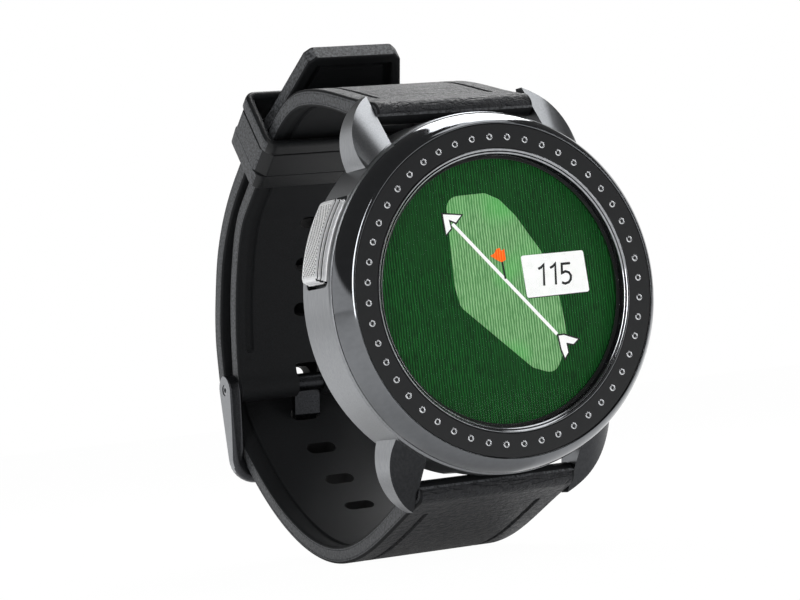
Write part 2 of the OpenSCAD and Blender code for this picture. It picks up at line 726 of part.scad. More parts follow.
// Buckle half: from the upper spring bar, back through the keeper and down to the buckle pin
a_keeper = keeper_mid - keeper_out * (layer_offset + keeper_slack / 2);
a_before = a_keeper - keeper_dir * 3.5;
a_after = a_keeper + keeper_dir * 11.5;
a_path = curve([
    [bar_y, bar_z, 14],
    [bar_y + 4.8, -15.6, 2],
    [a_before[0], a_before[1], -keeper_lean],
    [a_after[0], a_after[1], -keeper_lean - 1],
    [8.3, a_after[1] * 0.41 - pin_depth * 0.59, -66],
    [pin_mid[0], pin_mid[1], -86]]);
a_runs = lengths(a_path);
a_thick = [for (i = [0 : len(a_path) - 1]) strap_thick(a_runs[i])];

// Holed half: from the lower spring bar, under the wrist, out through the buckle and up through the keeper
b_keeper = keeper_mid + keeper_out * (layer_offset - keeper_slack / 2);
b_before = b_keeper + keeper_dir * 9.5;
b_after = b_keeper - keeper_dir * 4.5;
b_tip = b_keeper - keeper_dir * (keeper_l / 2 + 10.2);
b_path = curve([
    [-bar_y, bar_z, -22],
    [-bar_y - 7.6, -19.9, 1],
    [pin_mid[0] - 12.2, pin_mid[1] + 3.3, 44],
    [slot_mid[0], slot_mid[1], slot_angle],
    [pin_mid[0] + 4.9, slot_mid[1] - 1.6, 91],
    [pin_mid[0] + 15.9, pin_mid[1] - 1.9, 111],
    [b_before[0], b_before[1], 180 - keeper_lean],
    [b_after[0], b_after[1], 180 - keeper_lean],
    [b_tip[0], b_tip[1], 180 - keeper_lean]]);
b_runs = lengths(b_path);
b_thick = [for (i = [0 : len(b_path) - 1]) strap_thick(b_runs[i])];

// Half thickness of the strap at a length s from its spring bar
function strap_thick(s) =
    strap_t / 2 + (s > 14 ? 0 : (head_r - 0.12 - strap_t / 2) * pow(1 - s / 14, 2.2));

module slot_cut(s) {
    at_station(s) translate([0, 0, -4]) linear_extrude(height = 8) {
        square([slot_w - slot_h, slot_h], center = true);
        for (sx = [-1, 1]) translate([sx * (slot_w - slot_h) / 2, 0]) circle(r = slot_h / 2, $fn = 24);
    }
}

// Grooves near both edges, between two lengths along the strap; side is +1 for the outer face
module edge_grooves(path, runs, thick, x, from, to, side, w = groove_w, depth = groove_depth) {
    idx = [for (i = [0 : len(path) - 1]) if (runs[i] >= from && runs[i] <= to) i];
    top = drawn_in([for (i = idx) path[i] + across(path, i) * side * (thick[i] + 1)]);
    low = drawn_in([for (i = idx) path[i] + across(path, i) * side * (thick[i] - depth)]);
    for (sx = [-1, 1]) across_x(sx * x - w / 2, sx * x + w / 2)
        polygon(concat(top, [for (k = [len(low) - 1 : -1 : 0]) low[k]]));
}

// A line whose two ends stop part of the way along its first and last steps
function drawn_in(line) = let (n = len(line) - 1)
    [for (k = [0 : n]) k == 0 ? line[0] * 0.6 + line[1] * 0.4 : k == n ? line[n] * 0.6 + line[n - 1] * 0.4 : line[k]];

module strap_buckle_half() {
    total = a_runs[len(a_runs) - 1];
    color("#343536") upright() difference() {
        union() {
            across_x(-strap_half_w, strap_half_w) polygon(band(a_path, a_thick, a_thick));
            rod_x(head_r, -strap_half_w, strap_half_w, bar_y, bar_z);
            rod_x(eye_r, -strap_half_w, strap_half_w, pin_mid[0], pin_mid[1]);
        }
        rod_x(bar_r + run_fit, -strap_w, strap_w, bar_y, bar_z);
        rod_x(eye_bore_r, -strap_w, strap_w, pin_mid[0], pin_mid[1]);
        block([notch_w, 5.4, 8], [0, pin_mid[0], pin_mid[1] - 4]);
        for (k = [0 : 2]) slot_cut(station(a_path, a_runs, total - 10.5 - k * slot_pitch));
        edge_grooves(a_path, a_runs, a_thick, strap_half_w - 2.9, 5, total - 5, a_side);
        edge_grooves(a_path, a_runs, a_thick, strap_half_w - 1.95, 9, total - 5, -a_side, channel_w, channel_depth);
    }
}

// The path runs the other way round the wrist on the two halves, so their inner faces have opposite signs
a_side = -1;
b_side = 1;

module strap_holed_half() {
    total = b_runs[len(b_runs) - 1];
    used = b_runs[nearest(b_path, slot_mid)];
    color("#343536") upright() difference() {
        union() {
            across_x(-strap_half_w, strap_half_w) polygon(band(b_path, b_thick, b_thick));
            rod_x(head_r, -strap_half_w, strap_half_w, -bar_y, bar_z);
        }
        rod_x(bar_r + run_fit, -strap_w, strap_w, -bar_y, bar_z);
        for (k = [-3 : 5]) slot_cut(station(b_path, b_runs, used + k * slot_pitch));
        edge_grooves(b_path, b_runs, b_thick, strap_half_w - 2.9, 5, total - 26, b_side);
        edge_grooves(b_path, b_runs, b_thick, strap_half_w - 1.95, 9, total - 18, -b_side, channel_w, channel_depth);
        at_station(station(b_path, b_runs, total - 0.01)) tip_cuts();
    }
}

// Tapers the tail to a blunt end and sinks a panel into its inner face
module tip_cuts() {
    blunt = 5.4;
    taper = 17;
    widest = strap_half_w - blunt + 1;
    for (mx = [0, 1]) mirror([mx, 0, 0])
        translate([blunt, 0, -5]) linear_extrude(height = 10)
            polygon([[0, 1], [0, 0], [1, -1], [widest, -1.27 * taper], [widest + 4, -1.27 * taper], [9, 1]]);
    for (step = [[1.5, 0.5], [2.3, 0.75]]) let (rim = step[0], depth = step[1])
        translate([0, 0, strap_t / 2 - depth]) linear_extrude(height = 2)
            polygon([for (p = [[-1, rim - 11], [-1, -rim], [1, -rim], [1, rim - 11]])
                [p[0] * (blunt + 0.6 + (strap_half_w - blunt) * -p[1] / taper - rim), p[1]]]);
}

// A loop with a rim at its case end, a chamfered middle band and a thinner lip, each set off by a groove
module strap_keeper() {
    w = 2 * keeper_half_w;
    h = keeper_in_d + 2 * keeper_wall;
    band_from = keeper_l / 2 - 2.05;
    band_to = keeper_l / 2 + 2.05;
    color("#2f3031") upright() translate([0, keeper_mid[0], keeper_mid[1]])
        rotate([180 - keeper_lean, 0, 0]) translate([0, 0, -keeper_l / 2]) difference() {
            union() {
                linear_extrude(height = keeper_l) rounded_rect(w - 0.5, h - 0.5, 1.1);
                linear_extrude(height = band_from - 0.15) rounded_rect(w, h, 1.3);
                translate([0, 0, band_from + 0.15]) linear_extrude(height = band_to - band_from - 0.3)
                    chamfered_rect(w, h, 1.0);
                translate([0, 0, band_to + 0.15]) linear_extrude(height = keeper_l - band_to - 0.15)
                    rounded_rect(w - 0.25, h - 0.25, 1.2);
            }
            translate([0, 0, -1]) linear_extrude(height = keeper_l + 2)
                rounded_rect(w - 2 * keeper_wall, keeper_in_d, 0.5);
        }
}

// Rectangle with its corners cut off at 45 degrees
module chamfered_rect(w, h, c) {
    polygon([for (k = [0 : 7]) let (sx = k > 1 && k < 6 ? -1 : 1, sy = k < 4 ? 1 : -1, long = k % 4 == 1 || k % 4 == 2)
        [sx * (w / 2 - (long ? c : 0)), sy * (h / 2 - (long ? 0 : c))]]);
}

// ---------- buckle ----------

// Two tapering arms and a round bar, with the two outer corners at the bar rounded off
module buckle_frame() {
    taper = asin((arm_r - cross_r) / buckle_reach);
    sides = [for (a = [90 + buckle_lean + taper, -90 + buckle_lean - taper]) [cos(a), sin(a)]];
    color("#3a3b3d") upright() difference() {
        union() {
            for (x = [-arm_out_x, arm_in_x]) {
                rod_x(arm_r, x, x + arm_t, pin_mid[0], pin_mid[1]);
                across_x(x, x + arm_t) polygon([pin_mid + arm_r * sides[0], cross_mid + cross_r * sides[0],
                                                cross_mid + cross_r * sides[1], pin_mid + arm_r * sides[1]]);
            }
            rod_x(cross_r, -arm_out_x, arm_out_x, cross_mid[0], cross_mid[1]);
        }
        rod_x(pin_r + 0.02, -20, 20, pin_mid[0], pin_mid[1]);
        for (sx = [-1, 1]) translate([0, pin_mid[0], pin_mid[1]]) rotate([180 + buckle_lean, 0, 0])
            translate([sx * arm_out_x, buckle_reach + cross_r, -5]) linear_extrude(height = 10)
                rotate(sx > 0 ? 180 : -90) round_off(buckle_corner_r);
    }
}

// What a rounded corner takes away from a square one that stands in the first quadrant
module round_off(r) {
    polygon(concat([[-1, -1], [r + 1, -1]],
                   [for (k = [0 : 6]) let (a = 270 - 15 * k) [r - 0.02 + r * cos(a), r - 0.02 + r * sin(a)]],
                   [[-1, r + 1]]));
}

module buckle_pin() {
    color("#55575a") upright() difference() {
        rod_x(pin_r, -arm_out_x + 0.1, arm_out_x - 0.1, pin_mid[0], pin_mid[1]);
        for (x = [-arm_out_x - 1, arm_out_x - 0.5]) rod_x(0.35, x, x + 1.5, pin_mid[0], pin_mid[1]);
    }
}

// Barrel on the pin, plate down to the slot, shank through the strap and point on the buckle's bar
module buckle_tongue() {
    h = tongue_t;
    t = heading(slot_angle);
    out = [-cos(slot_angle), -sin(slot_angle)];
    sit = slot_mid - t * (slot_h / 2 - 0.25 - h / 2);
    inner = sit - out * (strap_t / 2 + h / 2 + 0.1);
    outer = sit + out * (strap_t / 2 + h / 2 + 0.15);
    root = pin_mid + [-0.5, -(barrel_r - h / 2)];
    point = cross_mid + [-0.5, -(cross_r + 0.1 + h / 2)];
    line = [root, inner, outer, point];
    color("#333436") upright() difference() {
        union() {
            rod_x(barrel_r, -barrel_w / 2, barrel_w / 2, pin_mid[0], pin_mid[1]);
            for (i = [0 : 2]) let (w = tongue_w / 2 - (i > 0 ? 0.3 : 0))
                across_x(-w, w) link(line[i], line[i + 1], h / 2);
        }
        rod_x(eye_bore_r, -10, 10, pin_mid[0], pin_mid[1]);
    }
}

// A round-ended bar between two points, made of true circles
module link(p, q, r) {
    d = q - p;
    side = [-d[1], d[0]] / norm(d) * r;
    polygon([p + side, q + side, q - side, p - side]);
    translate(p) circle(r = r, $fn = 32);
    translate(q) circle(r = r, $fn = 32);
}

mid_case();
bezel();
bezel_gasket();
dial_ring();
dial_studs();
trim_ring();
lens();
lens_gasket();
display_panel();
display_flex();
chassis();
main_board();
board_screws();
gps_module();
processor();
display_connector();
gps_antenna();
side_switch();
battery();
battery_pad();
contact_block();
contact_plungers();
charge_pins();
case_back();
back_gasket();
back_screws();
button_cap();
button_stem();
button_o_ring();
button_clip();
button_spring();
spring_bar_tubes();
spring_bar_tips();
spring_bar_springs();
strap_buckle_half();
strap_holed_half();
strap_keeper();
buckle_frame();
buckle_pin();
buckle_tongue();
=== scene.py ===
import math

import bmesh
import bpy
from mathutils import Matrix, Vector


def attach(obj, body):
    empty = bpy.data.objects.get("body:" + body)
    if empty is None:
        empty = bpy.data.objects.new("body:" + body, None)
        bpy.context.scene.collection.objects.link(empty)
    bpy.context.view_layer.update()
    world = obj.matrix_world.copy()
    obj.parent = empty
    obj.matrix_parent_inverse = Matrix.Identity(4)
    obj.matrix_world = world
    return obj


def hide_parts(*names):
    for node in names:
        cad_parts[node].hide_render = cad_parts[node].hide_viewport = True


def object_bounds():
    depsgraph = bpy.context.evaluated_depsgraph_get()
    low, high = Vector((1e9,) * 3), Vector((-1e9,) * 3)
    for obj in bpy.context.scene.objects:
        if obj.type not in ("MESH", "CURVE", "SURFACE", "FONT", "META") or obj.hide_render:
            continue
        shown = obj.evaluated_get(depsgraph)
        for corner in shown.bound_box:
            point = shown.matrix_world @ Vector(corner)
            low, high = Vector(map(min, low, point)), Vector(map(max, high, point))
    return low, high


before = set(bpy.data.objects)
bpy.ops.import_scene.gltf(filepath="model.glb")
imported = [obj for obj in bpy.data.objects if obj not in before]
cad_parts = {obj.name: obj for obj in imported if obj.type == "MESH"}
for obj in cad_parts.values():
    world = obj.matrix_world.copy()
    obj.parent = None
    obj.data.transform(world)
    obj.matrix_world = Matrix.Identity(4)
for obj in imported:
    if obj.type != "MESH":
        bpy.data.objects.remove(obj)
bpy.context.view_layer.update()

# ---- Middle case ----
# The case band with its four lugs, machined from one piece of steel. The bores, the button's pocket
# and the seats come from the frame's own solid; its sharp edges are broken by hand.
MM = 0.001
BAND_REACH = 22.9  # the round band ends here, and only lugs lie further out


def linear(hex_colour):
    """An sRGB hex colour as linear values."""
    parts = [int(hex_colour[i : i + 2], 16) / 255 for i in (1, 3, 5)]
    return [p / 12.92 if p <= 0.04045 else ((p + 0.055) / 1.055) ** 2.4 for p in parts] + [1.0]


def add(tree, kind, inputs=None, **settings):
    """Adds a shader node with its settings, plain values and links."""
    node = tree.nodes.new(kind)
    for name, value in settings.items():
        setattr(node, name, value)
    for socket, value in (inputs or {}).items():
        if isinstance(value, bpy.types.NodeSocket):
            tree.links.new(value, node.inputs[socket])
        else:
            node.inputs[socket].default_value = value
    return node


def blank(name):
    """A new material, with its node tree and its shader."""
    made = bpy.data.materials.new(name)
    made.use_nodes = True
    return made, made.node_tree, made.node_tree.nodes["Principled BSDF"]


def finish(name, dark, light, grain, stretch=(1, 1, 1), relief=0.0, rough=(0.4, 0.5), **plain):
    """A surface of two close shades, mottled by a grain of a real size in mm that may be drawn out,
    with the grain's height, its range of roughness and the shader's plain values."""
    made, tree, shader = blank(name)
    for socket, value in plain.items():
        shader.inputs[socket.replace("_", " ")].default_value = value
    place = add(tree, "ShaderNodeTexCoord").outputs["Object"]
    drawn = add(tree, "ShaderNodeMapping", {"Vector": place, "Scale": [1 / s for s in stretch]})
    noise = add(tree, "ShaderNodeTexNoise", {"Vector": drawn.outputs["Vector"], "Scale": 1 / (grain * MM),
                                             "Detail": 3.0, "Roughness": 0.6})
    height = noise.outputs["Fac"]
    spread = add(tree, "ShaderNodeMapRange", {"Value": height, "From Min": 0.34, "From Max": 0.66}).outputs["Result"]
    shade = add(tree, "ShaderNodeMix", {0: spread, 6: linear(dark), 7: linear(light)}, data_type="RGBA")
    tree.links.new(shade.outputs[2], shader.inputs["Base Color"])
    gloss = add(tree, "ShaderNodeMapRange", {"Value": spread, "To Min": rough[0], "To Max": rough[1]})
    tree.links.new(gloss.outputs["Result"], shader.inputs["Roughness"])
    if relief:
        bump = add(tree, "ShaderNodeBump", {"Height": height, "Distance": relief * MM})
        tree.links.new(bump.outputs["Normal"], shader.inputs["Normal"])
    return made


def solid(name, bm, finishes):
    """Puts a finished mesh into the scene as an object with its materials."""
    mesh = bpy.data.meshes.new(name)
    bm.to_mesh(mesh)
    bm.free()
    for made in finishes:
        mesh.materials.append(made)
    obj = bpy.data.objects.new(name, mesh)
    bpy.context.scene.collection.objects.link(obj)
    return obj


def piece(name, bm, finishes, body, nodes=(), corner=35):
    """Makes a piece of a finished mesh, smooth up to its corners, and hangs it on its body."""
    for face in bm.faces:
        face.smooth = True
    for edge in bm.edges:
        edge.smooth = edge.calc_face_angle(0.0) < math.radians(corner)
    obj = solid(name, bm, finishes)
    even = obj.modifiers.new("even_normals", "WEIGHTED_NORMAL")
    even.keep_sharp = True
    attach(obj, body)
    if nodes:
        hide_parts(*nodes)


def merged(node):
    """A mesh of a solid of the frame, with its loose triangles joined into faces, in mm."""
    bm = bmesh.new()
    bm.from_mesh(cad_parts[node].data)
    bm.transform(Matrix.Scale(1 / MM, 4))
    bmesh.ops.remove_doubles(bm, verts=bm.verts, dist=0.0005)
    bmesh.ops.dissolve_limit(bm, angle_limit=math.radians(0.4), verts=bm.verts, edges=bm.edges)
    return bm


def outward(bm):
    """Turns the faces of a mesh outwards."""
    bmesh.ops.recalc_face_normals(bm, faces=bm.faces[:])


def eased(bm, width, corner=30, slot=-1):
    """Breaks the sharp outer edges of a mesh by a width in mm; the new faces may take another slot's finish."""
    sharp = [e for e in bm.edges if e.is_manifold and e.calc_face_angle_signed(0.0) > math.radians(corner)]
    bmesh.ops.bevel(bm, geom=sharp, offset=width, segments=2, profile=0.5, affect="EDGES",
                    material=slot, clamp_overlap=True)
    outward(bm)


# Brushed steel under a grey coating: fine lines along the strap's direction, about 0.12 mm apart,
# drawn out to 3 mm, that turn reflections into soft bands.
gunmetal = finish("brushed_gunmetal_steel", "#85878a", "#95979a", 0.12, stretch=(1, 1, 25), relief=0.0008,
                  rough=(0.28, 0.31), Metallic=1.0)
# The broken edges are polished bare: the coating is rubbed off there.
bare_edge = finish("polished_bare_edge", "#9a9c9f", "#b0b2b5", 0.4, rough=(0.2, 0.28), Metallic=1.0)
# The front slopes of the two lower lugs are painted near black: a painted reflection of the shade below the watch.
painted_dark_reflection = finish("painted_reflection_slope", "#333436", "#3c3d3f", 0.3, stretch=(1, 1, 8), rough=(0.24, 0.27),
                    Metallic=1.0)
case = merged("mid_case")
for face in case.faces:
    centre = face.calc_center_median()
    on_low_lug = centre.z < 0 and math.hypot(centre.x, centre.z) > BAND_REACH
    # Painted reflection: the lower lugs' front slopes take the dark finish.
    face.material_index = 2 if on_low_lug and face.normal.y < -0.5 and face.normal.z < -0.3 else 0
eased(case, 0.07, slot=1)
case.transform(Matrix.Scale(MM, 4))
piece("mid_case_band", case, [gunmetal, bare_edge, painted_dark_reflection], "watch", ["mid_case"])

# ---- Case back ----
# A moulded back plate with four countersunk screws and four gold charging pins, closed by a rubber ring
# in a groove of the floor. These solids keep their own shape and only take their finish here.


def dress(material, *nodes):
    """Gives solids of the frame their finish."""
    for node in nodes:
        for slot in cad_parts[node].material_slots:
            slot.material = material


# Glass filled nylon, spark eroded mould: a matte, even pebble of about 0.15 mm.
dress(finish("moulded_black_nylon", "#18191a", "#222325", 0.15, relief=0.012, rough=(0.55, 0.65)),
      "case_back", "chassis", "contact_block")
# Nitrile rubber, pressed: matte black with a faint bloom.
dress(finish("nitrile_rubber", "#101011", "#19191a", 0.3, relief=0.004, rough=(0.7, 0.8)),
      "bezel_gasket", "lens_gasket", "back_gasket", "button_o_ring")
# Stainless steel, turned or drawn: fine marks round the part.
turned_steel = finish("turned_stainless_steel", "#8d8f92", "#b0b2b5", 0.08, stretch=(1, 6, 1), relief=0.003,
                      rough=(0.22, 0.34), Metallic=1.0)
dress(turned_steel, "back_screws", "board_screws", "button_stem", "button_clip", "button_spring",
      "spring_bar_tubes", "spring_bar_tips", "spring_bar_springs")
# Hard gold over nickel on turned pins: clean and bright.
dress(finish("gold_plated_brass", "#b98f3e", "#d9b45e", 0.4, relief=0.002, rough=(0.18, 0.28), Metallic=1.0),
      "charge_pins", "contact_plungers", "gps_antenna")

# ---- Electronics ----
# The stack inside the case: display ribbon, main board with its parts, battery on its pad and side switch.
# None of it shows once the case is closed, so the solids only take their finishes.

# Polyimide ribbon: glossy amber film with copper under it.
dress(finish("polyimide_ribbon", "#8a4c16", "#b06a26", 0.5, stretch=(1, 1, 8), relief=0.006, rough=(0.25, 0.35)),
      "display_flex")
# Glass epoxy board under green solder mask: the weave of the cloth shows through faintly.
dress(finish("solder_masked_board", "#123d26", "#1d5636", 0.45, relief=0.01, rough=(0.3, 0.42)), "main_board")
# Drawn nickel silver can: soft satin with rolling marks.
dress(finish("nickel_silver_can", "#8f9092", "#a9aaac", 0.1, stretch=(12, 1, 1), relief=0.003,
             rough=(0.3, 0.4), Metallic=1.0), "gps_module")
# Epoxy moulding compound: dull black with a fine sand finish.
dress(finish("chip_epoxy", "#131314", "#1e1e20", 0.08, relief=0.006, rough=(0.6, 0.7)), "processor", "side_switch")
# Liquid crystal polymer: cream, matte.
dress(finish("cream_connector_plastic", "#c4b98f", "#d4caa4", 0.2, relief=0.004, rough=(0.5, 0.6)),
      "display_connector")
# Aluminium laminate pouch: shiny and slightly wrinkled.
dress(finish("battery_pouch_foil", "#83878c", "#a4a8ad", 2.5, relief=0.05, rough=(0.24, 0.36), Metallic=1.0),
      "battery")
# Open cell foam: dark, with pores of about 0.3 mm.
dress(finish("pad_foam", "#232426", "#3a3b3e", 0.3, relief=0.08, rough=(0.85, 0.95)), "battery_pad")

# ---- Bezel ----
# A turned steel ring that drops into the case band and carries the dial ring. Its side is crowned and
# polished under a dark coating, and ends in a narrow flat at the dial ring.
# Turned and moulded pieces are drawn in mm on a bench, with the dial up, and then stood up in the frame.
BENCH = Matrix(((1, 0, 0, 0), (0, 0, -1, 0), (0, 1, 0, 0), (0, 0, 0, 1)))
STAND = Matrix.Scale(MM, 4) @ BENCH
CROWN_FOOT, CROWN_RISE, CROWN_SWELL = (22.15, 10.88), (-1.35, 2.62), 0.23


def stood(name, bm, finishes, body, nodes=(), corner=35):
    """Stands a mesh up from the bench and makes it a piece."""
    bm.transform(STAND)
    piece(name, bm, finishes, body, nodes, corner)


def turned(outline, rounding, steps=192):
    """Turns a closed outline of (radius, height) about the case axis, with rounded corners."""
    bm = bmesh.new()
    bm.faces.new([bm.verts.new((r, 0, z)) for r, z in outline])
    bmesh.ops.bevel(bm, geom=bm.verts[:], offset=rounding, segments=3, profile=0.5, affect="VERTICES",
                    material=-1, clamp_overlap=True)
    bmesh.ops.delete(bm, geom=bm.faces[:], context="FACES_ONLY")
    bmesh.ops.spin(bm, geom=bm.verts[:] + bm.edges[:], cent=(0, 0, 0), axis=(0, 0, 1), angle=math.tau,
                   steps=steps, use_merge=True)
    bmesh.ops.remove_doubles(bm, verts=bm.verts, dist=0.0002)
    outward(bm)
    return bm


crown = []
for step in range(13):
    t = step / 12
    out = CROWN_SWELL * (1 - (2 * t - 1) ** 2)
    crown.append((CROWN_FOOT[0] + CROWN_RISE[0] * t + out * 0.86, CROWN_FOOT[1] + CROWN_RISE[1] * t + out * 0.5))
seat = [(17.4, 11.6), (19.3, 11.6), (19.3, 9.6), (19.95, 9.6), (19.95, 10.45), (21.7, 10.45), (21.7, 10.72),
        (22.03, 10.72)]
lip = [(20.56, 13.69), (20.44, 13.68), (20.4, 13.6), (20.4, 12.4), (17.4, 12.4)]
bezel = turned(seat + crown + lip, 0.03)
# Polished steel under a dark ion coating: a near mirror with a faint turned haze.
dark_polish = finish("dark_polished_steel", "#6f7174", "#747679", 0.6, stretch=(1, 5, 1), rough=(0.07, 0.08),
                     Metallic=1.0)
stood("bezel_ring", bezel, [dark_polish], "watch", ["bezel"], corner=40)

# ---- Dial ring ----
# A flat anodised ring pressed into the bezel, with forty eight studs pressed into it. It is turned from
# aluminium plate, with its corners just broken.
dial_plate = turned([(17.4, 12.4), (20.35, 12.4), (20.35, 13.6), (17.4, 13.6)], 0.07)
# Anodised aluminium, satin black: a fine even grain, a soft sheen.
stood("dial_ring_plate", dial_plate, [finish("satin_black_anodising", "#111214", "#191a1c", 0.1, relief=0.002,
                                             rough=(0.34, 0.42), Specular_IOR_Level=0.4)], "watch", ["dial_ring"])

# ---- Studs ----
# Small polished steel cups, pressed into the dial ring at one radius and even turns. Each is turned from
# wire: a bright rim round a hollow, whose floor is painted dark as shade.
STUD_COUNT, STUD_CIRCLE = 48, 18.755
stud = bmesh.new()
rim = [(0.0, 13.50), (0.10, 13.50), (0.18, 13.55), (0.23, 13.64), (0.27, 13.70), (0.33, 13.71), (0.39, 13.68),
       (0.43, 13.62), (0.44, 13.56), (0.44, 13.3), (0.0, 13.3)]
rim_points = [stud.verts.new((STUD_CIRCLE + r, 0, z)) for r, z in rim]
for pair in zip(rim_points, rim_points[1:]):
    stud.edges.new(pair)
bmesh.ops.spin(stud, geom=stud.verts[:] + stud.edges[:], cent=(STUD_CIRCLE, 0, 0), axis=(0, 0, 1), angle=math.tau,
               steps=20, use_merge=True)
bmesh.ops.remove_doubles(stud, verts=stud.verts, dist=0.0005)
outward(stud)
# The hollow's floor takes painted shade.
for face in stud.faces:
    centre = face.calc_center_median() - Vector((STUD_CIRCLE, 0, 0))
    face.material_index = 1 if centre.xy.length < 0.2 and centre.z > 13.4 else 0
single = bpy.data.meshes.new("one_stud")
stud.to_mesh(single)
stud.free()
studs = bmesh.new()
for _ in range(STUD_COUNT):
    single.transform(Matrix.Rotation(math.tau / STUD_COUNT, 4, "Z"))
    studs.from_mesh(single)
# Chromed steel: bright and clean.
chrome = finish("polished_steel", "#c4c6c9", "#d6d8da", 0.5, rough=(0.08, 0.13), Metallic=1.0)
# Painted shade: a glossy near black in the studs' hollows and the trim ring's groove, where shade falls.
painted_hollow_shade = finish("painted_hollow_shade_black", "#08090a", "#101112", 0.3, rough=(0.15, 0.25))
stood("dial_studs_cups", studs, [chrome, painted_hollow_shade], "watch", ["dial_studs"], corner=60)

# ---- Trim ring ----
# A thin polished ring between the dial ring and the lens, which holds the lens on its inner ledge: a lip that
# slopes inwards, a fine groove painted dark as shade and a low bevelled bead.
GROOVE_INSIDE, GROOVE_OUTSIDE = 16.9, 17.03
trim = turned([(16.95, 11.1), (18.6, 11.1), (18.6, 11.6), (17.35, 11.6), (17.35, 13.6), (17.3, 13.7), (17.24, 13.72),
               (GROOVE_OUTSIDE, 13.55), (17.01, 13.45), (17.0, 13.34), (16.93, 13.34), (16.91, 13.5),
               (GROOVE_INSIDE, 13.56), (16.86, 13.56), (16.7, 13.43), (16.7, 12.3), (16.25, 12.3), (16.25, 11.9),
               (16.95, 11.9)], 0.02)
# The groove's faces take painted shade.
for face in trim.faces:
    centre = face.calc_center_median()
    in_groove = GROOVE_INSIDE < centre.xy.length < GROOVE_OUTSIDE and centre.z > 13.2
    face.material_index = 1 if in_groove else 0
# Steel under a darker coating, polished: it shows as lines where it turns to a lamp.
trim_steel = finish("polished_trim_steel", "#8f9194", "#a3a5a8", 0.5, rough=(0.08, 0.12), Metallic=1.0)
stood("trim_ring_polished", trim, [trim_steel, painted_hollow_shade], "watch", ["trim_ring"], corner=30)

# ---- Display ----
# A round colour panel. A golf hole is drawn on it: a green, a line to the pin with an arrowhead at each
# end, a flag and a plate with the distance. Each layer of the picture is a film a few hundredths thick.
PANEL_TOP = 11.85
CELL_PITCH = 0.36  # real cells are too fine to show, so they are drawn this coarse
WAVE_REPEAT = 0.314  # a wave texture of scale 1 repeats after this length


def lit(name, dark, light, patch, glow):
    """A lit picture area: columns of cells that wave a little, with slow drifts towards a patch shade."""
    made, tree, shader = blank(name)
    place = add(tree, "ShaderNodeTexCoord").outputs["Object"]
    columns = add(tree, "ShaderNodeTexWave", {"Vector": place, "Scale": WAVE_REPEAT / (CELL_PITCH * MM),
                                              "Distortion": 1.5, "Detail": 1.0, "Detail Scale": 1.3},
                  bands_direction="X")
    drawn = add(tree, "ShaderNodeMapping", {"Vector": place, "Scale": (1, 1, 0.3)})
    cells = add(tree, "ShaderNodeTexNoise", {"Vector": drawn.outputs["Vector"], "Scale": 1 / (0.3 * MM),
                                             "Detail": 2.0})
    drift = add(tree, "ShaderNodeTexNoise", {"Vector": place, "Scale": 1 / (7 * MM), "Detail": 1.0})
    mixed = add(tree, "ShaderNodeMath", {0: columns.outputs["Fac"], 1: cells.outputs["Fac"]}, operation="MULTIPLY")
    weave = add(tree, "ShaderNodeMapRange", {"Value": mixed.outputs[0], "From Min": 0.08, "From Max": 0.5})
    shade = add(tree, "ShaderNodeMix", {0: weave.outputs["Result"], 6: linear(dark), 7: linear(light)},
                data_type="RGBA")
    far = add(tree, "ShaderNodeMapRange", {"Value": drift.outputs["Fac"], "From Min": 0.5, "From Max": 0.7,
                                           "To Max": 0.5})
    tinted = add(tree, "ShaderNodeMix", {0: far.outputs["Result"], 6: shade.outputs[2], 7: linear(patch)},
                 data_type="RGBA")
    tree.links.new(tinted.outputs[2], shader.inputs["Base Color"])
    tree.links.new(tinted.outputs[2], shader.inputs["Emission Color"])
    shader.inputs["Emission Strength"].default_value = glow
    shader.inputs["Roughness"].default_value = 0.6
    shader.inputs["Specular IOR Level"].default_value = 0.2
    return made


# Lit cells: deep green rough with darker gaps between the columns.
rough_green = lit("lit_dark_green", "#021f06", "#0e561d", "#083a12", 0.4)
panel = turned([(0.02, 10.65), (16.85, 10.65), (16.85, PANEL_TOP), (0.02, PANEL_TOP)], 0.01, steps=96)
stood("display_disc", panel, [rough_green], "watch", ["display_panel"])


def pushed(bm, face, by):
    """Extrudes a face into a solid."""
    made = bmesh.ops.extrude_face_region(bm, geom=[face])
    bmesh.ops.translate(bm, verts=[v for v in made["geom"] if isinstance(v, bmesh.types.BMVert)], vec=by)


def film(name, outline, lift, finishes):
    """A flat film, 0.02 mm thick, cut to an outline in mm and lying at a lift over the panel."""
    bm = bmesh.new()
    pushed(bm, bm.faces.new([bm.verts.new((x, y, PANEL_TOP + lift)) for x, y in outline]), (0, 0, 0.02))
    outward(bm)
    bmesh.ops.triangulate(bm, faces=[f for f in bm.faces if len(f.verts) > 4])
    stood(name, bm, finishes, "watch")


def rounded(corners, steps=6):
    """A closed outline through corners of (x, y, radius), each rounded to its radius."""
    line = []
    for i, (x, y, radius) in enumerate(corners):
        here = Vector((x, y))
        before = (Vector(corners[i - 1][:2]) - here).normalized()
        after = (Vector(corners[(i + 1) % len(corners)][:2]) - here).normalized()
        half = before.angle(after) / 2
        reach = radius / math.tan(half)
        start, end = here + before * reach, here + after * reach
        for k in range(steps + 1):
            t = k / steps
            line.append(tuple((1 - t) ** 2 * start + 2 * t * (1 - t) * here + t * t * end))
    return line


def wider(outline, by):
    """An outline moved outwards by a distance."""
    corners = [Vector(p) for p in outline]
    turn = sum(a.cross(b) for a, b in zip(corners, corners[1:] + corners[:1]))
    sign = by if turn > 0 else -by
    line = []
    for i, here in enumerate(corners):
        before = (here - corners[i - 1]).normalized()
        after = (corners[(i + 1) % len(corners)] - here).normalized()
        out = Vector((before.y + after.y, -before.x - after.x)) / max(1 + before.dot(after), 0.5)
        line.append(tuple(here + out * sign))
    return line


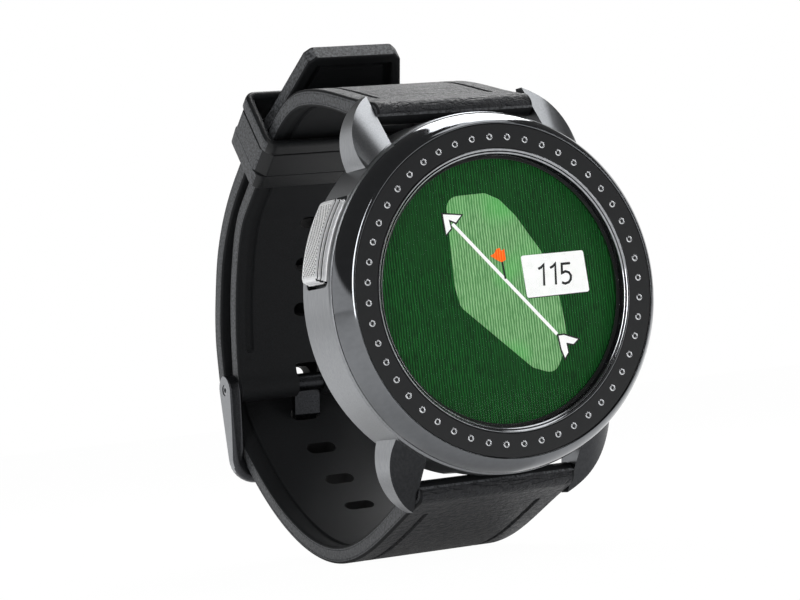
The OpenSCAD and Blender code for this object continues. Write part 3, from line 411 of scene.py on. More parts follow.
def stroke(path, width):
    """The outline of a line drawn along a path with a broad pen."""
    stops = [Vector(p) for p in path]
    left, back = [], []
    for i, here in enumerate(stops):
        before = (here - stops[max(i - 1, 0)]).normalized()
        after = (stops[min(i + 1, len(stops) - 1)] - here).normalized()
        side = (before + after).normalized().orthogonal()
        reach = width / 2 / max(side.dot((after if i == 0 else before).orthogonal()), 0.5)
        left.append(tuple(here + side * reach))
        back.append(tuple(here - side * reach))
    return left + back[::-1]


green = [(-6.05, 11.95, 1.9), (-0.6, 12.1, 1.4), (1.3, 11.2, 1.2), (3.3, 9.1, 1.5),
         (6.4, 4.4, 2.5), (8.3, -1.6, 6.0), (8.75, -6.8, 1.6), (6.5, -10.8, 1.8),
         (3.4, -9.7, 1.5), (-5.6, -1.5, 1.6), (-6.15, 1.2, 1.5)]
# Lit cells of the fairway, paler, and further on of the flag, orange.
film("display_green", rounded(green), 0.0, [lit("lit_pale_green", "#488048", "#8cbb85", "#55b85a", 0.3)])
# Lit cells that are fully open, and fully shut ones.
white = finish("lit_white", "#eef0ee", "#fbfcfb", 1.0, rough=(0.5, 0.6), Emission_Strength=0.3,
               Emission_Color=linear("#ffffff"))
black = finish("lit_black", "#0a0d0c", "#151918", 0.6, rough=(0.5, 0.6))
film("display_line", stroke([(-5.5, 8.66), (7.3, -5.95)], 0.42), 0.03, [white])
arrows = {"upper": [(-6.66, 9.9), (-4.19, 9.61), (-5.01, 8.8), (-5.95, 9.22), (-5.78, 8.11), (-6.49, 7.46)],
          "lower": [(7.46, -6.15), (8.23, -6.13), (10.12, -6.82), (9.44, -7.35), (8.43, -7.1), (8.54, -8.34),
                    (8.03, -8.93), (7.66, -7.78)]}
for name, head in arrows.items():
    film(f"display_arrow_{name}_edge", wider(head, 0.2), 0.04, [black])
    film(f"display_arrow_{name}", head, 0.06, [white])
film("display_pole", stroke([(0.75, 3.56), (0.93, 1.42)], 0.22), 0.08, [black])
flag = [(0.68, 3.5), (1.28, 3.75), (1.22, 5.1), (0.75, 4.85), (0.6, 5.25), (0.12, 5.15), (-0.2, 4.65),
        (-0.8, 4.38), (0.1, 3.75)]
film("display_flag", flag, 0.09, [lit("lit_orange", "#e2500f", "#ff7a26", "#ff6a18", 0.5)])
plate = [(3.37, 4.06, 0.35), (12.25, 4.08, 0.35), (12.53, -1.08, 0.35), (3.64, -1.16, 0.35)]
film("display_plate_shadow", rounded([(x + 0.07, y - 0.1, r) for x, y, r in plate]), 0.1, [black])
film("display_plate", rounded(plate), 0.12, [white])
digits = {"first_one": [(5.62, 2.26), (6.05, 2.42), (6.43, 2.72), (6.2, 0.15)],
          "second_one": [(7.3, 2.26), (7.72, 2.42), (8.08, 2.72), (7.88, 0.15)],
          "five": [(10.2, 2.62), (9.0, 2.62), (8.9, 1.5), (9.4, 1.66), (9.88, 1.5), (10.12, 1.1), (10.04, 0.62),
                   (9.72, 0.28), (9.2, 0.16), (8.74, 0.34)]}
for name, path in digits.items():
    film(f"display_digit_{name}", stroke(path, 0.3), 0.15, [black])

# ---- Lens ----
# A flat mineral glass, ground to a disc with a broken edge and glued into the trim ring. A black border is
# printed under its edge.
glass = turned([(0.02, 12.45), (16.65, 12.45), (16.65, 13.45), (0.02, 13.45)], 0.12, steps=128)
# Mineral glass with an anti reflection coat: nearly clear, with a weak cool reflection.
clear = finish("mineral_glass", "#0c1012", "#12171a", 3.0, rough=(0.02, 0.03), Alpha=0.06)
stood("lens_glass_disc", glass, [clear], "watch", ["lens"])
border = turned([(16.2, 12.36), (16.64, 12.36), (16.64, 12.44), (16.2, 12.44)], 0.01, steps=128)
# Screen printed ceramic ink: dense black.
stood("lens_border_print", border, [finish("black_border_ink", "#070708", "#0c0c0d", 0.5, rough=(0.3, 0.4))], "watch")

# ---- Button ----
# A pressed and knurled steel cap that follows the case's curve and stands on stepped ledges in its pocket.
# The cap is drawn flat, along and up, and bent round the case.
BUTTON_TURN = math.radians(158.5)
BUTTON_Z = 6.95
CASE_R = 22.3
CAP_HALF_LENGTH, CAP_HALF_HEIGHT = 5.6, 2.75
QUARTERS = ((1, 1, 0), (-1, 1, 90), (-1, -1, 180), (1, -1, 270))  # a corner's two signs and its first angle


def bent(bm):
    """Bends a flat cap, x along the case, y up, z out, round the case at the button's place."""
    for v in bm.verts:
        along, up, radius = v.co
        angle = BUTTON_TURN + along / (CASE_R + 1)
        v.co = (radius * math.cos(angle), radius * math.sin(angle), BUTTON_Z + up)
    outward(bm)


def cap_outline(front, back, end, radius):
    """The outline of the cap, narrowed at its front, back and ends."""
    w, top, low = CAP_HALF_LENGTH - end, CAP_HALF_HEIGHT - front, back - CAP_HALF_HEIGHT
    line = []
    for cx, cy, start in QUARTERS:
        for k in range(5):
            a = math.radians(start + k * 22.5)
            y = (top - radius) if cy > 0 else (low + radius)
            line.append((cx * (w - radius) + radius * math.cos(a), y + radius * math.sin(a)))
    return line


# Each level: how much narrower the cap is at its front, back and ends, its corners' radius, and the level's
# distance from the case axis. The pairs that share a distance are the steps' treads.
cap = bmesh.new()
levels = [(0.0, 0.0, 0.0, 0.7, 21.9), (0.0, 0.0, 0.0, 0.7, 22.35), (0.06, 0.06, 0.06, 0.65, 22.42),
          (0.34, 0.10, 0.14, 0.6, 22.42), (0.36, 0.12, 0.16, 0.6, 22.70), (0.42, 0.16, 0.2, 0.55, 22.76),
          (0.72, 0.20, 0.28, 0.5, 22.76), (0.74, 0.22, 0.30, 0.5, 23.02), (0.80, 0.26, 0.34, 0.45, 23.08),
          (1.05, 0.30, 0.42, 0.4, 23.10), (1.25, 0.42, 0.60, 0.35, 23.24), (1.32, 0.50, 0.68, 0.3, 23.22)]
below = None
for front, back, end, radius, height in levels:
    level = [cap.verts.new((x, y, height)) for x, y in cap_outline(front, back, end, radius)]
    edges = [cap.edges.new((level[i], level[(i + 1) % len(level)])) for i in range(len(level))]
    if below:
        bmesh.ops.bridge_loops(cap, edges=below + edges)
    else:
        cap.faces.new(level)
    below = edges
cap.faces.new(level)
# Slices every 0.5 mm, so that the long flats follow the case when the cap is bent.
for k in range(-11, 12):
    bmesh.ops.bisect_plane(cap, geom=cap.verts[:] + cap.edges[:] + cap.faces[:], plane_co=(0.5 * k, 0, 0),
                           plane_no=(1, 0, 0), dist=0.001)
bent(cap)
# The step walls near the top take painted shade.
for face in cap.faces:
    centre = face.calc_center_median()
    tread = abs(face.normal.z) < 0.6 and centre.xy.length < 23.16 and centre.z > BUTTON_Z + 1.0
    face.material_index = 1 if tread else 0
# Bright nickel over steel: clean steps that catch the light as thin lines, with painted shade, near black, between
# them.
nickel = finish("bright_nickel", "#dcdddf", "#e6e7e8", 0.5, rough=(0.28, 0.34), Metallic=0.5)
painted_step_shade = finish("painted_shade_nickel_step", "#1c1d1f", "#2a2b2d", 0.4, rough=(0.25, 0.35), Metallic=1.0)
stood("button_cap_frame", cap, [nickel, painted_step_shade], "button", ["button_cap"], corner=25)

# The knurl: small four sided points 0.33 mm apart on the slant, rolled into the cap's face.
KNURL_PITCH, KNURL_FOOT, KNURL_HEIGHT, PIT_WIDTH = 0.235, 23.19, 0.12, 0.12
ACROSS, UP = 40, 15
knurl = bmesh.new()
bmesh.ops.create_grid(knurl, x_segments=ACROSS, y_segments=UP, size=1)
for v in knurl.verts:
    i = round((v.co.x + 1) / 2 * ACROSS)
    j = round((v.co.y + 1) / 2 * UP)
    high = (i + j) % 2
    v.co = ((i - ACROSS / 2) * KNURL_PITCH, (j - UP / 2) * KNURL_PITCH - 0.42, KNURL_FOOT + KNURL_HEIGHT * high)
    v.tag = not high
for face in list(knurl.faces):
    low = [v for v in face.verts if v.tag]
    if len(low) == 2:
        bmesh.utils.face_split(face, low[0], low[1])
# The pits take painted shade.
pits = [v for v in knurl.verts if v.tag and not v.is_boundary]
bmesh.ops.bevel(knurl, geom=pits, offset=PIT_WIDTH, segments=1, affect="VERTICES", material=1, clamp_overlap=True)
bent(knurl)
for face in knurl.faces:
    centre = face.calc_center_median()
    if face.normal.dot(Vector((centre.x, centre.y, 0))) < 0:
        face.normal_flip()
# Knurled and nickelled steel: flat bright facets, with the pits between them painted near black as shade.
knurl_nickel = finish("knurled_nickel", "#eeefef", "#f8f8f8", 0.4, rough=(0.34, 0.42), Metallic=0.4)
stood("button_cap_knurl", knurl, [knurl_nickel, painted_step_shade], "button", corner=5)

# ---- Straps ----
# Two halves of moulded rubber, 22 mm wide, each round a spring bar. The outer face has a leather grain between
# two grooves, the inner face is smooth with two wide channels, and the sides are fine matte with a painted sheen.
BAR_Y, BAR_Z = 23.4, 4.5
HALF_WIDTH = 10.9
THICK = 2.25
HEAD, EYE, BAR_BORE = 1.48, 1.9, 0.8  # half the head's thickness, the pin eye's radius, the bores' radius
SLOT_PITCH = 6.7
PIN = Vector((-7.9, -46.4))
LEAN = math.radians(36)
KEEPER_DIR = Vector((-math.sin(LEAN), -math.cos(LEAN)))
KEEPER_OUT = Vector((math.cos(LEAN), -math.sin(LEAN)))
KEEPER_MID = Vector((24.9, -29.7))


def heading(degrees):
    """The direction in (y, z) of a strap that runs back from the case and leans up."""
    return Vector((math.sin(math.radians(degrees)), -math.cos(math.radians(degrees))))


def strap_line(stations, steps=24):
    """A smooth line through stations of (y, z, lean), as lengths, points and directions."""
    line = []
    for (y0, z0, lean0), (y1, z1, lean1) in zip(stations, stations[1:]):
        p, q = Vector((y0, z0)), Vector((y1, z1))
        m = (q - p).length
        pd, qd = heading(lean0) * m, heading(lean1) * m
        for i in range(steps):
            t = i / steps
            line.append((2 * t**3 - 3 * t**2 + 1) * p + (t**3 - 2 * t**2 + t) * pd
                        + (3 * t**2 - 2 * t**3) * q + (t**3 - t**2) * qd)
    line.append(q)
    runs = [0.0]
    for a, b in zip(line, line[1:]):
        runs.append(runs[-1] + (b - a).length)
    return line, runs


def at(line, runs, s):
    """The point and direction at a length along a line; past its ends the line runs on straight."""
    i = max(0, min(len(line) - 2, sum(1 for r in runs if r <= s) - 1))
    a, b = line[i], line[i + 1]
    step = (b - a).normalized()
    before = (line[i] - line[max(i - 1, 0)]).normalized() if i else step
    after = (line[min(i + 2, len(line) - 1)] - b).normalized() if i < len(line) - 2 else step
    f = (s - runs[i]) / (runs[i + 1] - runs[i])
    mix = min(max(f, 0), 1)
    turn = ((before + step).normalized() * (1 - mix) + (step + after).normalized() * mix).normalized()
    return a + (b - a) * f, turn


def swept(ring_size, count, place):
    """Extrudes a closed ring of points through places; place(i, k) is point k at place i."""
    bm = bmesh.new()
    number = bm.verts.layers.int.new("ring_point")
    ring = [bm.verts.new(place(0, k)) for k in range(ring_size)]
    for k, v in enumerate(ring):
        v[number] = k
    edges = [bm.edges.new((ring[k], ring[(k + 1) % ring_size])) for k in range(ring_size)]
    bm.faces.new(ring)
    for i in range(1, count):
        made = bmesh.ops.extrude_edge_only(bm, edges=edges)["geom"]
        fresh = {v for v in made if isinstance(v, bmesh.types.BMVert)}
        for v in fresh:
            v.co = place(i, v[number])
        edges = [e for e in made if isinstance(e, bmesh.types.BMEdge) and e.verts[0] in fresh and e.verts[1] in fresh]
    bmesh.ops.contextual_create(bm, geom=edges)
    outward(bm)
    return bm


EDGE = 0.3
OUTER_X = [0.0, 2.5, 5.0, 7.0, 7.62, 7.76, 8.0, 8.24, 8.38, 9.2, 10.0, HALF_WIDTH - EDGE]
INNER_X = [0.0, 2.5, 5.0, 7.0, 8.34, 8.46, 8.95, 9.44, 9.56, 10.0, HALF_WIDTH - EDGE]
side_wall = [(HALF_WIDTH - EDGE + EDGE * math.sin(a), EDGE - EDGE * math.cos(a))
             for a in (math.radians(22.5 * k) for k in range(1, 5))]
side_wall += [(HALF_WIDTH, 0.44), (HALF_WIDTH - 0.06, 0.50), (HALF_WIDTH, 0.56)]
half_ring = [(x, 0.0, 1) for x in OUTER_X] + [(x, d, 1) for x, d in side_wall] \
    + [(x, d, -1) for x, d in reversed(side_wall)] + [(x, 0.0, -1) for x in reversed(INNER_X)]
strap_ring = [(x, d, f) for x, d, f in half_ring] + [(-x, d, f) for x, d, f in reversed(half_ring) if x > 0.001]


def ramp(value, width=0.12):
    """0 below nought, 1 above the width."""
    return min(max(value / width, 0.0), 1.0)


def strap_relief(x, face, s, spec):
    """Depth of the grooves and of the tail's panel at a place of a strap."""
    x = abs(x)
    if face > 0:
        middle, flat, wall, depth = 8.0, 0.24, 0.38, 0.35
        start, end = spec["outer"]
    else:
        middle, flat, wall, depth = 8.95, 0.49, 0.61, 0.3
        start, end = spec["inner"]
    off = abs(x - middle)
    bow = 0.4 * (off / wall) ** 2
    deep = 0.0
    if off <= flat + 0.001:
        deep = depth * ramp(s - start - bow) * ramp(end - bow - s)
    if spec["panel"] and face < 0:
        back = spec["runs"][-1] - s
        if x < 9.45:
            deep = max(deep, 0.75 * ramp(back - 1.45) * ramp(11.0 - back))
        if x < 8.35:
            deep = min(deep, 0.75 - 0.4 * ramp(back - 2.3) * ramp(10.2 - back))
    return deep


def strap_shape(spec):
    """The moulded shape of a strap half, in bench millimetres."""
    line, runs = spec["line"], spec["runs"]
    total = runs[-1]
    lengths = [total * i / spec["steps"] for i in range(spec["steps"] + 1)]
    for s in (*spec["outer"], *spec["inner"]):
        lengths += [s + d for d in (-0.52, -0.4, -0.26, -0.12, 0.0, 0.12, 0.26, 0.4, 0.52)]
    if spec["panel"]:
        lengths += [total - b for b in (0.02, 0.08, 0.16, 0.3, 0.45, 0.7, 1.0, 1.44, 1.57, 2.3, 2.42, 10.08, 10.2,
                                        10.88, 11.0)]
    lengths = sorted({round(s, 3) for s in lengths if 0 <= s <= total - (0.015 if spec["panel"] else 0)})
    rounds = [(math.sin(math.radians(a)), math.cos(math.radians(a))) for a in (12, 25, 40, 55, 70, 84)]
    places = [(0.0, -HEAD * past, squeeze) for past, squeeze in reversed(rounds)]
    places += [(s, 0.0, 1.0) for s in lengths]
    if not spec["panel"]:
        places += [(total, EYE * past, squeeze) for past, squeeze in rounds]

    def place(i, k):
        s, past, squeeze = places[i]
        x, drop, face = strap_ring[k]
        point, along = at(line, runs, s)
        point = point + along * past
        normal = Vector((-along.y, along.x)) * spec["outer_sign"]
        half = spec["thickness"](s)
        wide = spec["width"](s)
        inset = 0.0
        if spec["panel"] and total - s < EDGE:
            inset = EDGE - math.sqrt(max(EDGE**2 - (EDGE - (total - s)) ** 2, 0))
        if abs(x) > HALF_WIDTH - 4:
            x = math.copysign(wide - inset - (HALF_WIDTH - abs(x)), x)
        else:
            x *= (wide - inset - 4) / (HALF_WIDTH - 4)
        x -= spec["drift"] * max(s - total + 12, 0) / 12
        deep = strap_relief(strap_ring[k][0], face, s, spec) if not past else 0.0
        high = face * squeeze * max(half - drop - deep - inset, 0.02)
        return (x, point.x + normal.x * high, point.y + normal.y * high)

    bm = swept(len(strap_ring), len(places), place)
    number = bm.verts.layers.int["ring_point"]
    for f in bm.faces:
        # The outer flats take the leather grain; the sides and ends take the side finish with its painted sheen.
        ring = [strap_ring[v[number]] for v in f.verts]
        if len(ring) == 4 and all(face > 0 and d < 0.01 for x, d, face in ring):
            f.material_index = 1
        elif len(ring) > 4 or all(d > 0.2 for x, d, face in ring):
            f.material_index = 2
    return bm


def slot_cutters(spec, places, length, width):
    """Round ended bars through a strap at some lengths."""
    bm = bmesh.new()
    for s in places:
        point, along = at(spec["line"], spec["runs"], s)
        outline = []
        for cx, start in ((1, -90), (-1, 90)):
            for k in range(9):
                a = math.radians(start + k * 22.5)
                outline.append((cx * (length - width) / 2 + width / 2 * math.cos(a), width / 2 * math.sin(a)))
        normal = Vector((-along.y, along.x))
        low = point - normal * 3
        face = bm.faces.new([bm.verts.new((x, low.x + along.x * y, low.y + along.y * y)) for x, y in outline])
        pushed(bm, face, (0, normal.x * 6, normal.y * 6))
    outward(bm)
    # The cutters' faces become the slot walls, which take the painted shade.
    for face in bm.faces:
        face.material_index = 3
    return bm


def rod(bm, radius, x0, x1, y, z, segments=40):
    """Adds a rod across the watch, from x0 to x1."""
    bmesh.ops.create_cone(bm, cap_ends=True, segments=segments, radius1=radius, radius2=radius, depth=x1 - x0,
                          matrix=Matrix.Translation(((x0 + x1) / 2, y, z)) @ Matrix.Rotation(math.pi / 2, 4, "Y"))


def cut(bm, cutters):
    """Cuts one mesh out of another and gives the result."""
    whole, tool = solid("part_to_cut", bm, [None] * 4), solid("cutters", cutters, [])
    taken = whole.modifiers.new("cut", "BOOLEAN")
    taken.object = tool
    taken.solver = "EXACT"
    result = bmesh.new()
    result.from_mesh(whole.evaluated_get(bpy.context.evaluated_depsgraph_get()).to_mesh())
    for obj in (whole, tool):
        bpy.data.objects.remove(obj)
    return result


# Moulded rubber, polished mould: near black satin with a fine even grain.
rubber = finish("moulded_strap_rubber", "#151617", "#1f2022", 0.16, relief=0.008, rough=(0.56, 0.66),
                Specular_IOR_Level=0.12)
# The same rubber on the sides, from a spark eroded mould: a dry sandy grain of 0.34 mm, in a much lighter
# colour that is a painted sheen of the light grazing the sides.
painted_sheen_side = finish("sandy_side_painted_sheen", "#1b1c1e", "#5c5e61", 0.34, relief=0.05, rough=(0.5, 0.62), Specular_IOR_Level=0.4)
# Inside the slots the rubber is painted near black: painted shade on the slot walls.
painted_slot_shade = finish("slot_wall_painted_shade", "#0b0b0c", "#111112", 0.3, relief=0.004, rough=(0.7, 0.8),
                   Specular_IOR_Level=0.2)
# The same rubber from a leather grained mould: small pebbles 0.6 mm across, and near the case wavy creases
# that run across the strap.
leather, tree, shader = blank("leather_grained_rubber")
place = add(tree, "ShaderNodeTexCoord").outputs["Object"]
pebbles = add(tree, "ShaderNodeTexVoronoi", {"Vector": place, "Scale": 1 / (0.62 * MM)}, feature="SMOOTH_F1")
fine = add(tree, "ShaderNodeTexNoise", {"Vector": place, "Scale": 1 / (0.25 * MM), "Detail": 3.0})
drawn = add(tree, "ShaderNodeMapping", {"Vector": place, "Scale": (0.35, 1, 1)})
folds = add(tree, "ShaderNodeTexNoise", {"Vector": drawn.outputs["Vector"], "Scale": 1 / (1.5 * MM), "Detail": 2.0,
                                         "Distortion": 0.8})
swing = add(tree, "ShaderNodeMath", {0: folds.outputs["Fac"], 1: 0.5}, operation="SUBTRACT")
away = add(tree, "ShaderNodeMath", {0: swing.outputs[0]}, operation="ABSOLUTE")
fold = add(tree, "ShaderNodeMapRange", {"Value": away.outputs[0], "From Max": 0.05, "To Min": 1.0, "To Max": 0.0})
depth = add(tree, "ShaderNodeSeparateXYZ", {"Vector": place})
near = add(tree, "ShaderNodeMapRange", {"Value": depth.outputs["Y"], "From Min": 0.001, "From Max": 0.009,
                                        "To Min": 1.0, "To Max": 0.0})
crease = add(tree, "ShaderNodeMath", {0: fold.outputs["Result"], 1: near.outputs["Result"]}, operation="MULTIPLY")
grain = add(tree, "ShaderNodeMath", {0: pebbles.outputs["Distance"], 1: fine.outputs["Fac"]}, operation="ADD")
height = add(tree, "ShaderNodeMath", {0: crease.outputs[0], 1: -0.8, 2: grain.outputs[0]}, operation="MULTIPLY_ADD")
bump = add(tree, "ShaderNodeBump", {"Height": height.outputs[0], "Distance": 0.17 * MM})
tree.links.new(bump.outputs["Normal"], shader.inputs["Normal"])
shade = add(tree, "ShaderNodeMix", {0: grain.outputs[0], 6: linear("#0f1011"), 7: linear("#2a2b2e")},
            data_type="RGBA")
tree.links.new(shade.outputs[2], shader.inputs["Base Color"])
gloss = add(tree, "ShaderNodeMapRange", {"Value": grain.outputs[0], "From Min": 0.5, "From Max": 1.3, "To Min": 0.42,
                                         "To Max": 0.6})
tree.links.new(gloss.outputs["Result"], shader.inputs["Roughness"])
shader.inputs["Specular IOR Level"].default_value = 0.3



def head_thickness(s):
    """Half the thickness: a head round the spring bar that thins out to the flat strap."""
    return THICK / 2 + (0 if s > 14 else (HEAD - THICK / 2) * (1 - s / 14) ** 2.2)


# The half with the buckle: out of the case, up to the keeper and down to the pin.
in_keeper = KEEPER_MID - KEEPER_OUT * 2.425
before, after = in_keeper - KEEPER_DIR * 3.5, in_keeper + KEEPER_DIR * 11.5
upper_line, upper_runs = strap_line([(BAR_Y, BAR_Z, 14), (BAR_Y + 4.8, -15.6, 2), (*before, -36), (*after, -37),
                                     (8.3, after.y - 5.2, -66), (*PIN, -86)])
upper_length = upper_runs[-1]


def buckle_half_thickness(s):
    """Half the thickness: the head, a flat middle and an eye round the buckle pin."""
    gone = upper_length - s
    eye = math.sqrt(max(EYE**2 - gone**2, 0))
    near_eye = max(0.0, 1 - gone / 4.2)
    return max(head_thickness(s) + 0.2 * near_eye**2, eye)


buckle_half = {"line": upper_line, "runs": upper_runs, "steps": 110, "outer_sign": 1,
               "outer": (4.0, upper_length - 5.0), "inner": (9.0, upper_length - 5.0), "panel": False,
               "thickness": buckle_half_thickness, "width": lambda s: HALF_WIDTH, "drift": 0.0}
cutters = slot_cutters(buckle_half, [upper_length - 10.5 - k * SLOT_PITCH for k in range(3)], 4.3, 1.9)
rod(cutters, BAR_BORE, -12, 12, BAR_Y, BAR_Z)
rod(cutters, BAR_BORE, -12, 12, PIN.x, PIN.y)
# The gap for the tongue's barrel.
bmesh.ops.create_cube(cutters, size=1,
                      matrix=Matrix.Translation((0, PIN.x, PIN.y)) @ Matrix.Diagonal((4.3, 5.4, 8, 1)))
upper_half = cut(strap_shape(buckle_half), cutters)
stood("strap_buckle_side", upper_half, [rubber, leather, painted_sheen_side, painted_slot_shade], "watch", ["strap_buckle_half"], corner=40)

# The half with the holes: out of the case, under the buckle, and back up through the keeper.
over_keeper = KEEPER_MID + KEEPER_OUT * 1.225
entry, leave = over_keeper + KEEPER_DIR * 9.5, over_keeper - KEEPER_DIR * 4.5
tip = over_keeper - KEEPER_DIR * (8.3 / 2 + 10.6)
SLOT = PIN + Vector((-5.1, -(EYE + 0.1 + THICK / 2)))
lower_line, lower_runs = strap_line([(-BAR_Y, BAR_Z, -22), (-BAR_Y - 7.6, -19.9, 1), (-BAR_Y + 3.3, -43.1, 44),
                                     (*SLOT, 55), (-3.0, SLOT.y - 1.6, 91), (8.0, -48.3, 111), (*entry, 144),
                                     (*leave, 144), (*tip, 144)])
lower_length = lower_runs[-1]
used = lower_runs[min(range(len(lower_line)), key=lambda i: (lower_line[i] - SLOT).length)]


def tail_width(s):
    """Half the width: straight, then tapered to a blunt end with rounded corners."""
    back = lower_length - s
    return min(HALF_WIDTH, 6.8 + (back - 1) * 0.245 if back > 1 else 5.8 + back)


holed_half = {"line": lower_line, "runs": lower_runs, "steps": 230, "outer_sign": -1,
              "outer": (4.0, lower_length - 26), "inner": (9.0, lower_length - 18), "panel": True,
              "thickness": head_thickness, "width": tail_width, "drift": 1.0}
cutters = slot_cutters(holed_half, [used + k * SLOT_PITCH for k in range(-3, 6)], 4.35, 2.0)
rod(cutters, BAR_BORE, -12, 12, -BAR_Y, BAR_Z)
lower_half = cut(strap_shape(holed_half), cutters)
stood("strap_holed_side", lower_half, [rubber, leather, painted_sheen_side, painted_slot_shade], "watch", ["strap_holed_half"], corner=40)

# ---- Keeper ----
# A moulded rubber loop that slides along both strap layers: a rounded rim, a flat middle band between
# two fine grooves, and a thinner lip.
keeper_profile = [(-4.6, 0.0), (3.4, 0.0), (3.75, 0.08), (4.02, 0.28), (4.15, 0.6), (4.08, 0.92), (3.85, 1.14),
                  (3.5, 1.22), (2.3, 1.22), (2.2, 1.16), (2.16, 0.98), (2.04, 0.98), (2.0, 1.12), (1.9, 1.2),
                  (-1.9, 1.2), (-2.0, 1.14), (-2.04, 0.95), (-2.16, 0.95), (-2.2, 1.04), (-2.3, 1.08),
                  (-4.5, 0.98), (-4.72, 0.8), (-4.75, 0.2)]
INSIDE_X, INSIDE_OUT, INSIDE_ROUND = 11.4, 3.85, 0.4
CORNER_STEPS = 10
keeper_places = [(*quarter, k / CORNER_STEPS) for quarter in QUARTERS for k in range(CORNER_STEPS + 1)]
keeper_places.append(keeper_places[0])


def keeper_place(i, k):
    """A point of the keeper's wall; the middle band is carried squarer round the corners."""
    cx, cy, start, t = keeper_places[i]
    along, out = keeper_profile[k]
    radius = INSIDE_ROUND + out
    a = math.radians(start + 90 * t)
    px, py = radius * math.cos(a), radius * math.sin(a)
    if abs(along) < 2.1 and out > 0.5:
        a0, a1 = math.radians(start), math.radians(start + 90)
        flat_x = radius * (math.cos(a0) * (1 - t) + math.cos(a1) * t)
        flat_y = radius * (math.sin(a0) * (1 - t) + math.sin(a1) * t)
        px, py = flat_x * 0.75 + px * 0.25, flat_y * 0.75 + py * 0.25
    x = cx * (INSIDE_X - INSIDE_ROUND) + px
    off = cy * (INSIDE_OUT - INSIDE_ROUND) + py
    point = KEEPER_MID + KEEPER_OUT * off - KEEPER_DIR * along
    return (x, point.x, point.y)


loop = swept(len(keeper_profile), len(keeper_places), keeper_place)
bmesh.ops.delete(loop, geom=[f for f in loop.faces if len(f.verts) > 4], context="FACES_ONLY")
bmesh.ops.remove_doubles(loop, verts=loop.verts, dist=0.0005)
outward(loop)
# The keeper's sides take the side finish with its painted sheen.
for face in loop.faces:
    face.material_index = 1 if abs(face.normal.x) > 0.8 else 0
# Moulded rubber with a fine grain, a little glossier where it is handled.
keeper_rubber = finish("moulded_keeper_rubber", "#111213", "#1d1e20", 0.2, relief=0.02, rough=(0.36, 0.5),
                       Specular_IOR_Level=0.25)
stood("strap_keeper_loop", loop, [keeper_rubber, painted_sheen_side], "keeper", ["strap_keeper"], corner=40)

# ---- Buckle ----
# A cast frame of two flat arms and a round bar, with the pin through the arms' eyes. The frame is made by
# carrying a rounded section down one arm, round the corner, along the bar and up the other arm.
REACH = 12.0
BUCKLE_LEAN = math.radians(1.5)
DOWN = Vector((-math.cos(BUCKLE_LEAN), -math.sin(BUCKLE_LEAN)))
FACE = Vector((-DOWN.y, DOWN.x))
ARM_X, BEND, EYE_END = 11.95, 2.5, 2.0
# Each place: across, along the arm, the line's turn, half the section's width and height, and its corners.
buckle_places = []
for a in (86, 72, 56, 40, 24, 10):
    a = math.radians(a)
    buckle_places.append((ARM_X, -EYE_END * math.sin(a), 0.0, 0.8, EYE_END * math.cos(a), 0.3))
for k in range(9):
    t = k / 8
    buckle_places.append((ARM_X, (REACH - BEND) * t, 0.0, 0.8 + 0.1 * t * t, EYE_END - 0.8 * t, 0.3 + 0.42 * t * t))
for k in range(1, 9):
    t = k / 8
    a = math.pi / 2 * t
    buckle_places.append((ARM_X - BEND * (1 - math.cos(a)), REACH - BEND + BEND * math.sin(a), a,
                          0.9 + 0.25 * t, 1.2 - 0.05 * t, 0.72 + 0.4 * t))
buckle_places += [(x, REACH, math.pi / 2, 1.15, 1.15, 1.12) for x in (5.0, 0.0)]
buckle_places += [(-x, u, math.pi - a, half, high, c) for x, u, a, half, high, c in reversed(buckle_places[:-1])]


def buckle_place(i, k):
    """A point of the buckle's section: across the frame's line and across its face."""
    x, u, turn, half, high, corner = buckle_places[i]
    quarter, step = divmod(k, 6)
    corner = min(corner, half * 0.98, high * 0.98)
    a = math.radians(quarter * 90 + step * 18)
    sx = 1 if quarter in (0, 3) else -1
    sy = 1 if quarter in (0, 1) else -1
    out = sx * (half - corner) + corner * math.cos(a)
    lift = sy * (high - corner) + corner * math.sin(a)
    px = x + out * math.cos(turn)
    pu = u + out * math.sin(turn)
    point = PIN + DOWN * pu + FACE * lift
    return (px, point.x, point.y)


pin_bore = bmesh.new()
rod(pin_bore, 0.77, -14, 14, PIN.x, PIN.y)
buckle = cut(swept(24, len(buckle_places), buckle_place), pin_bore)
# The flat sides take the painted light.
for face in buckle.faces:
    face.material_index = 1 if abs(face.normal.x) > 0.9 else 0
# Die cast zinc, satin blackened: grey where it faces the light, with a soft sheen.
blackened = finish("blackened_zinc", "#37383a", "#4a4b4e", 0.15, relief=0.006, rough=(0.3, 0.42), Metallic=1.0)
# The arms' flat sides are painted a lighter satin grey: painted light, for the light that falls on them.
painted_lit_side = finish("zinc_side_painted_light", "#8c8e91", "#a0a2a5", 0.15, relief=0.006, rough=(0.36, 0.42), Metallic=1.0)
stood("buckle_frame_cast", buckle, [blackened, painted_lit_side], "buckle", ["buckle_frame"], corner=40)
dress(turned_steel, "buckle_pin")

# ---- Tongue ----
# A stamped steel plate rolled round the pin. Its point goes out through a slot of the strap to the bar,
# and its sharp edges are broken.
tongue = merged("buckle_tongue")
eased(tongue, 0.1)
tongue.transform(Matrix.Scale(MM, 4))
piece("buckle_tongue_stamped", tongue, [finish("blackened_steel", "#242527", "#36373a", 0.2, relief=0.004,
                                                rough=(0.26, 0.36), Metallic=0.9)], "tongue", ["buckle_tongue"])

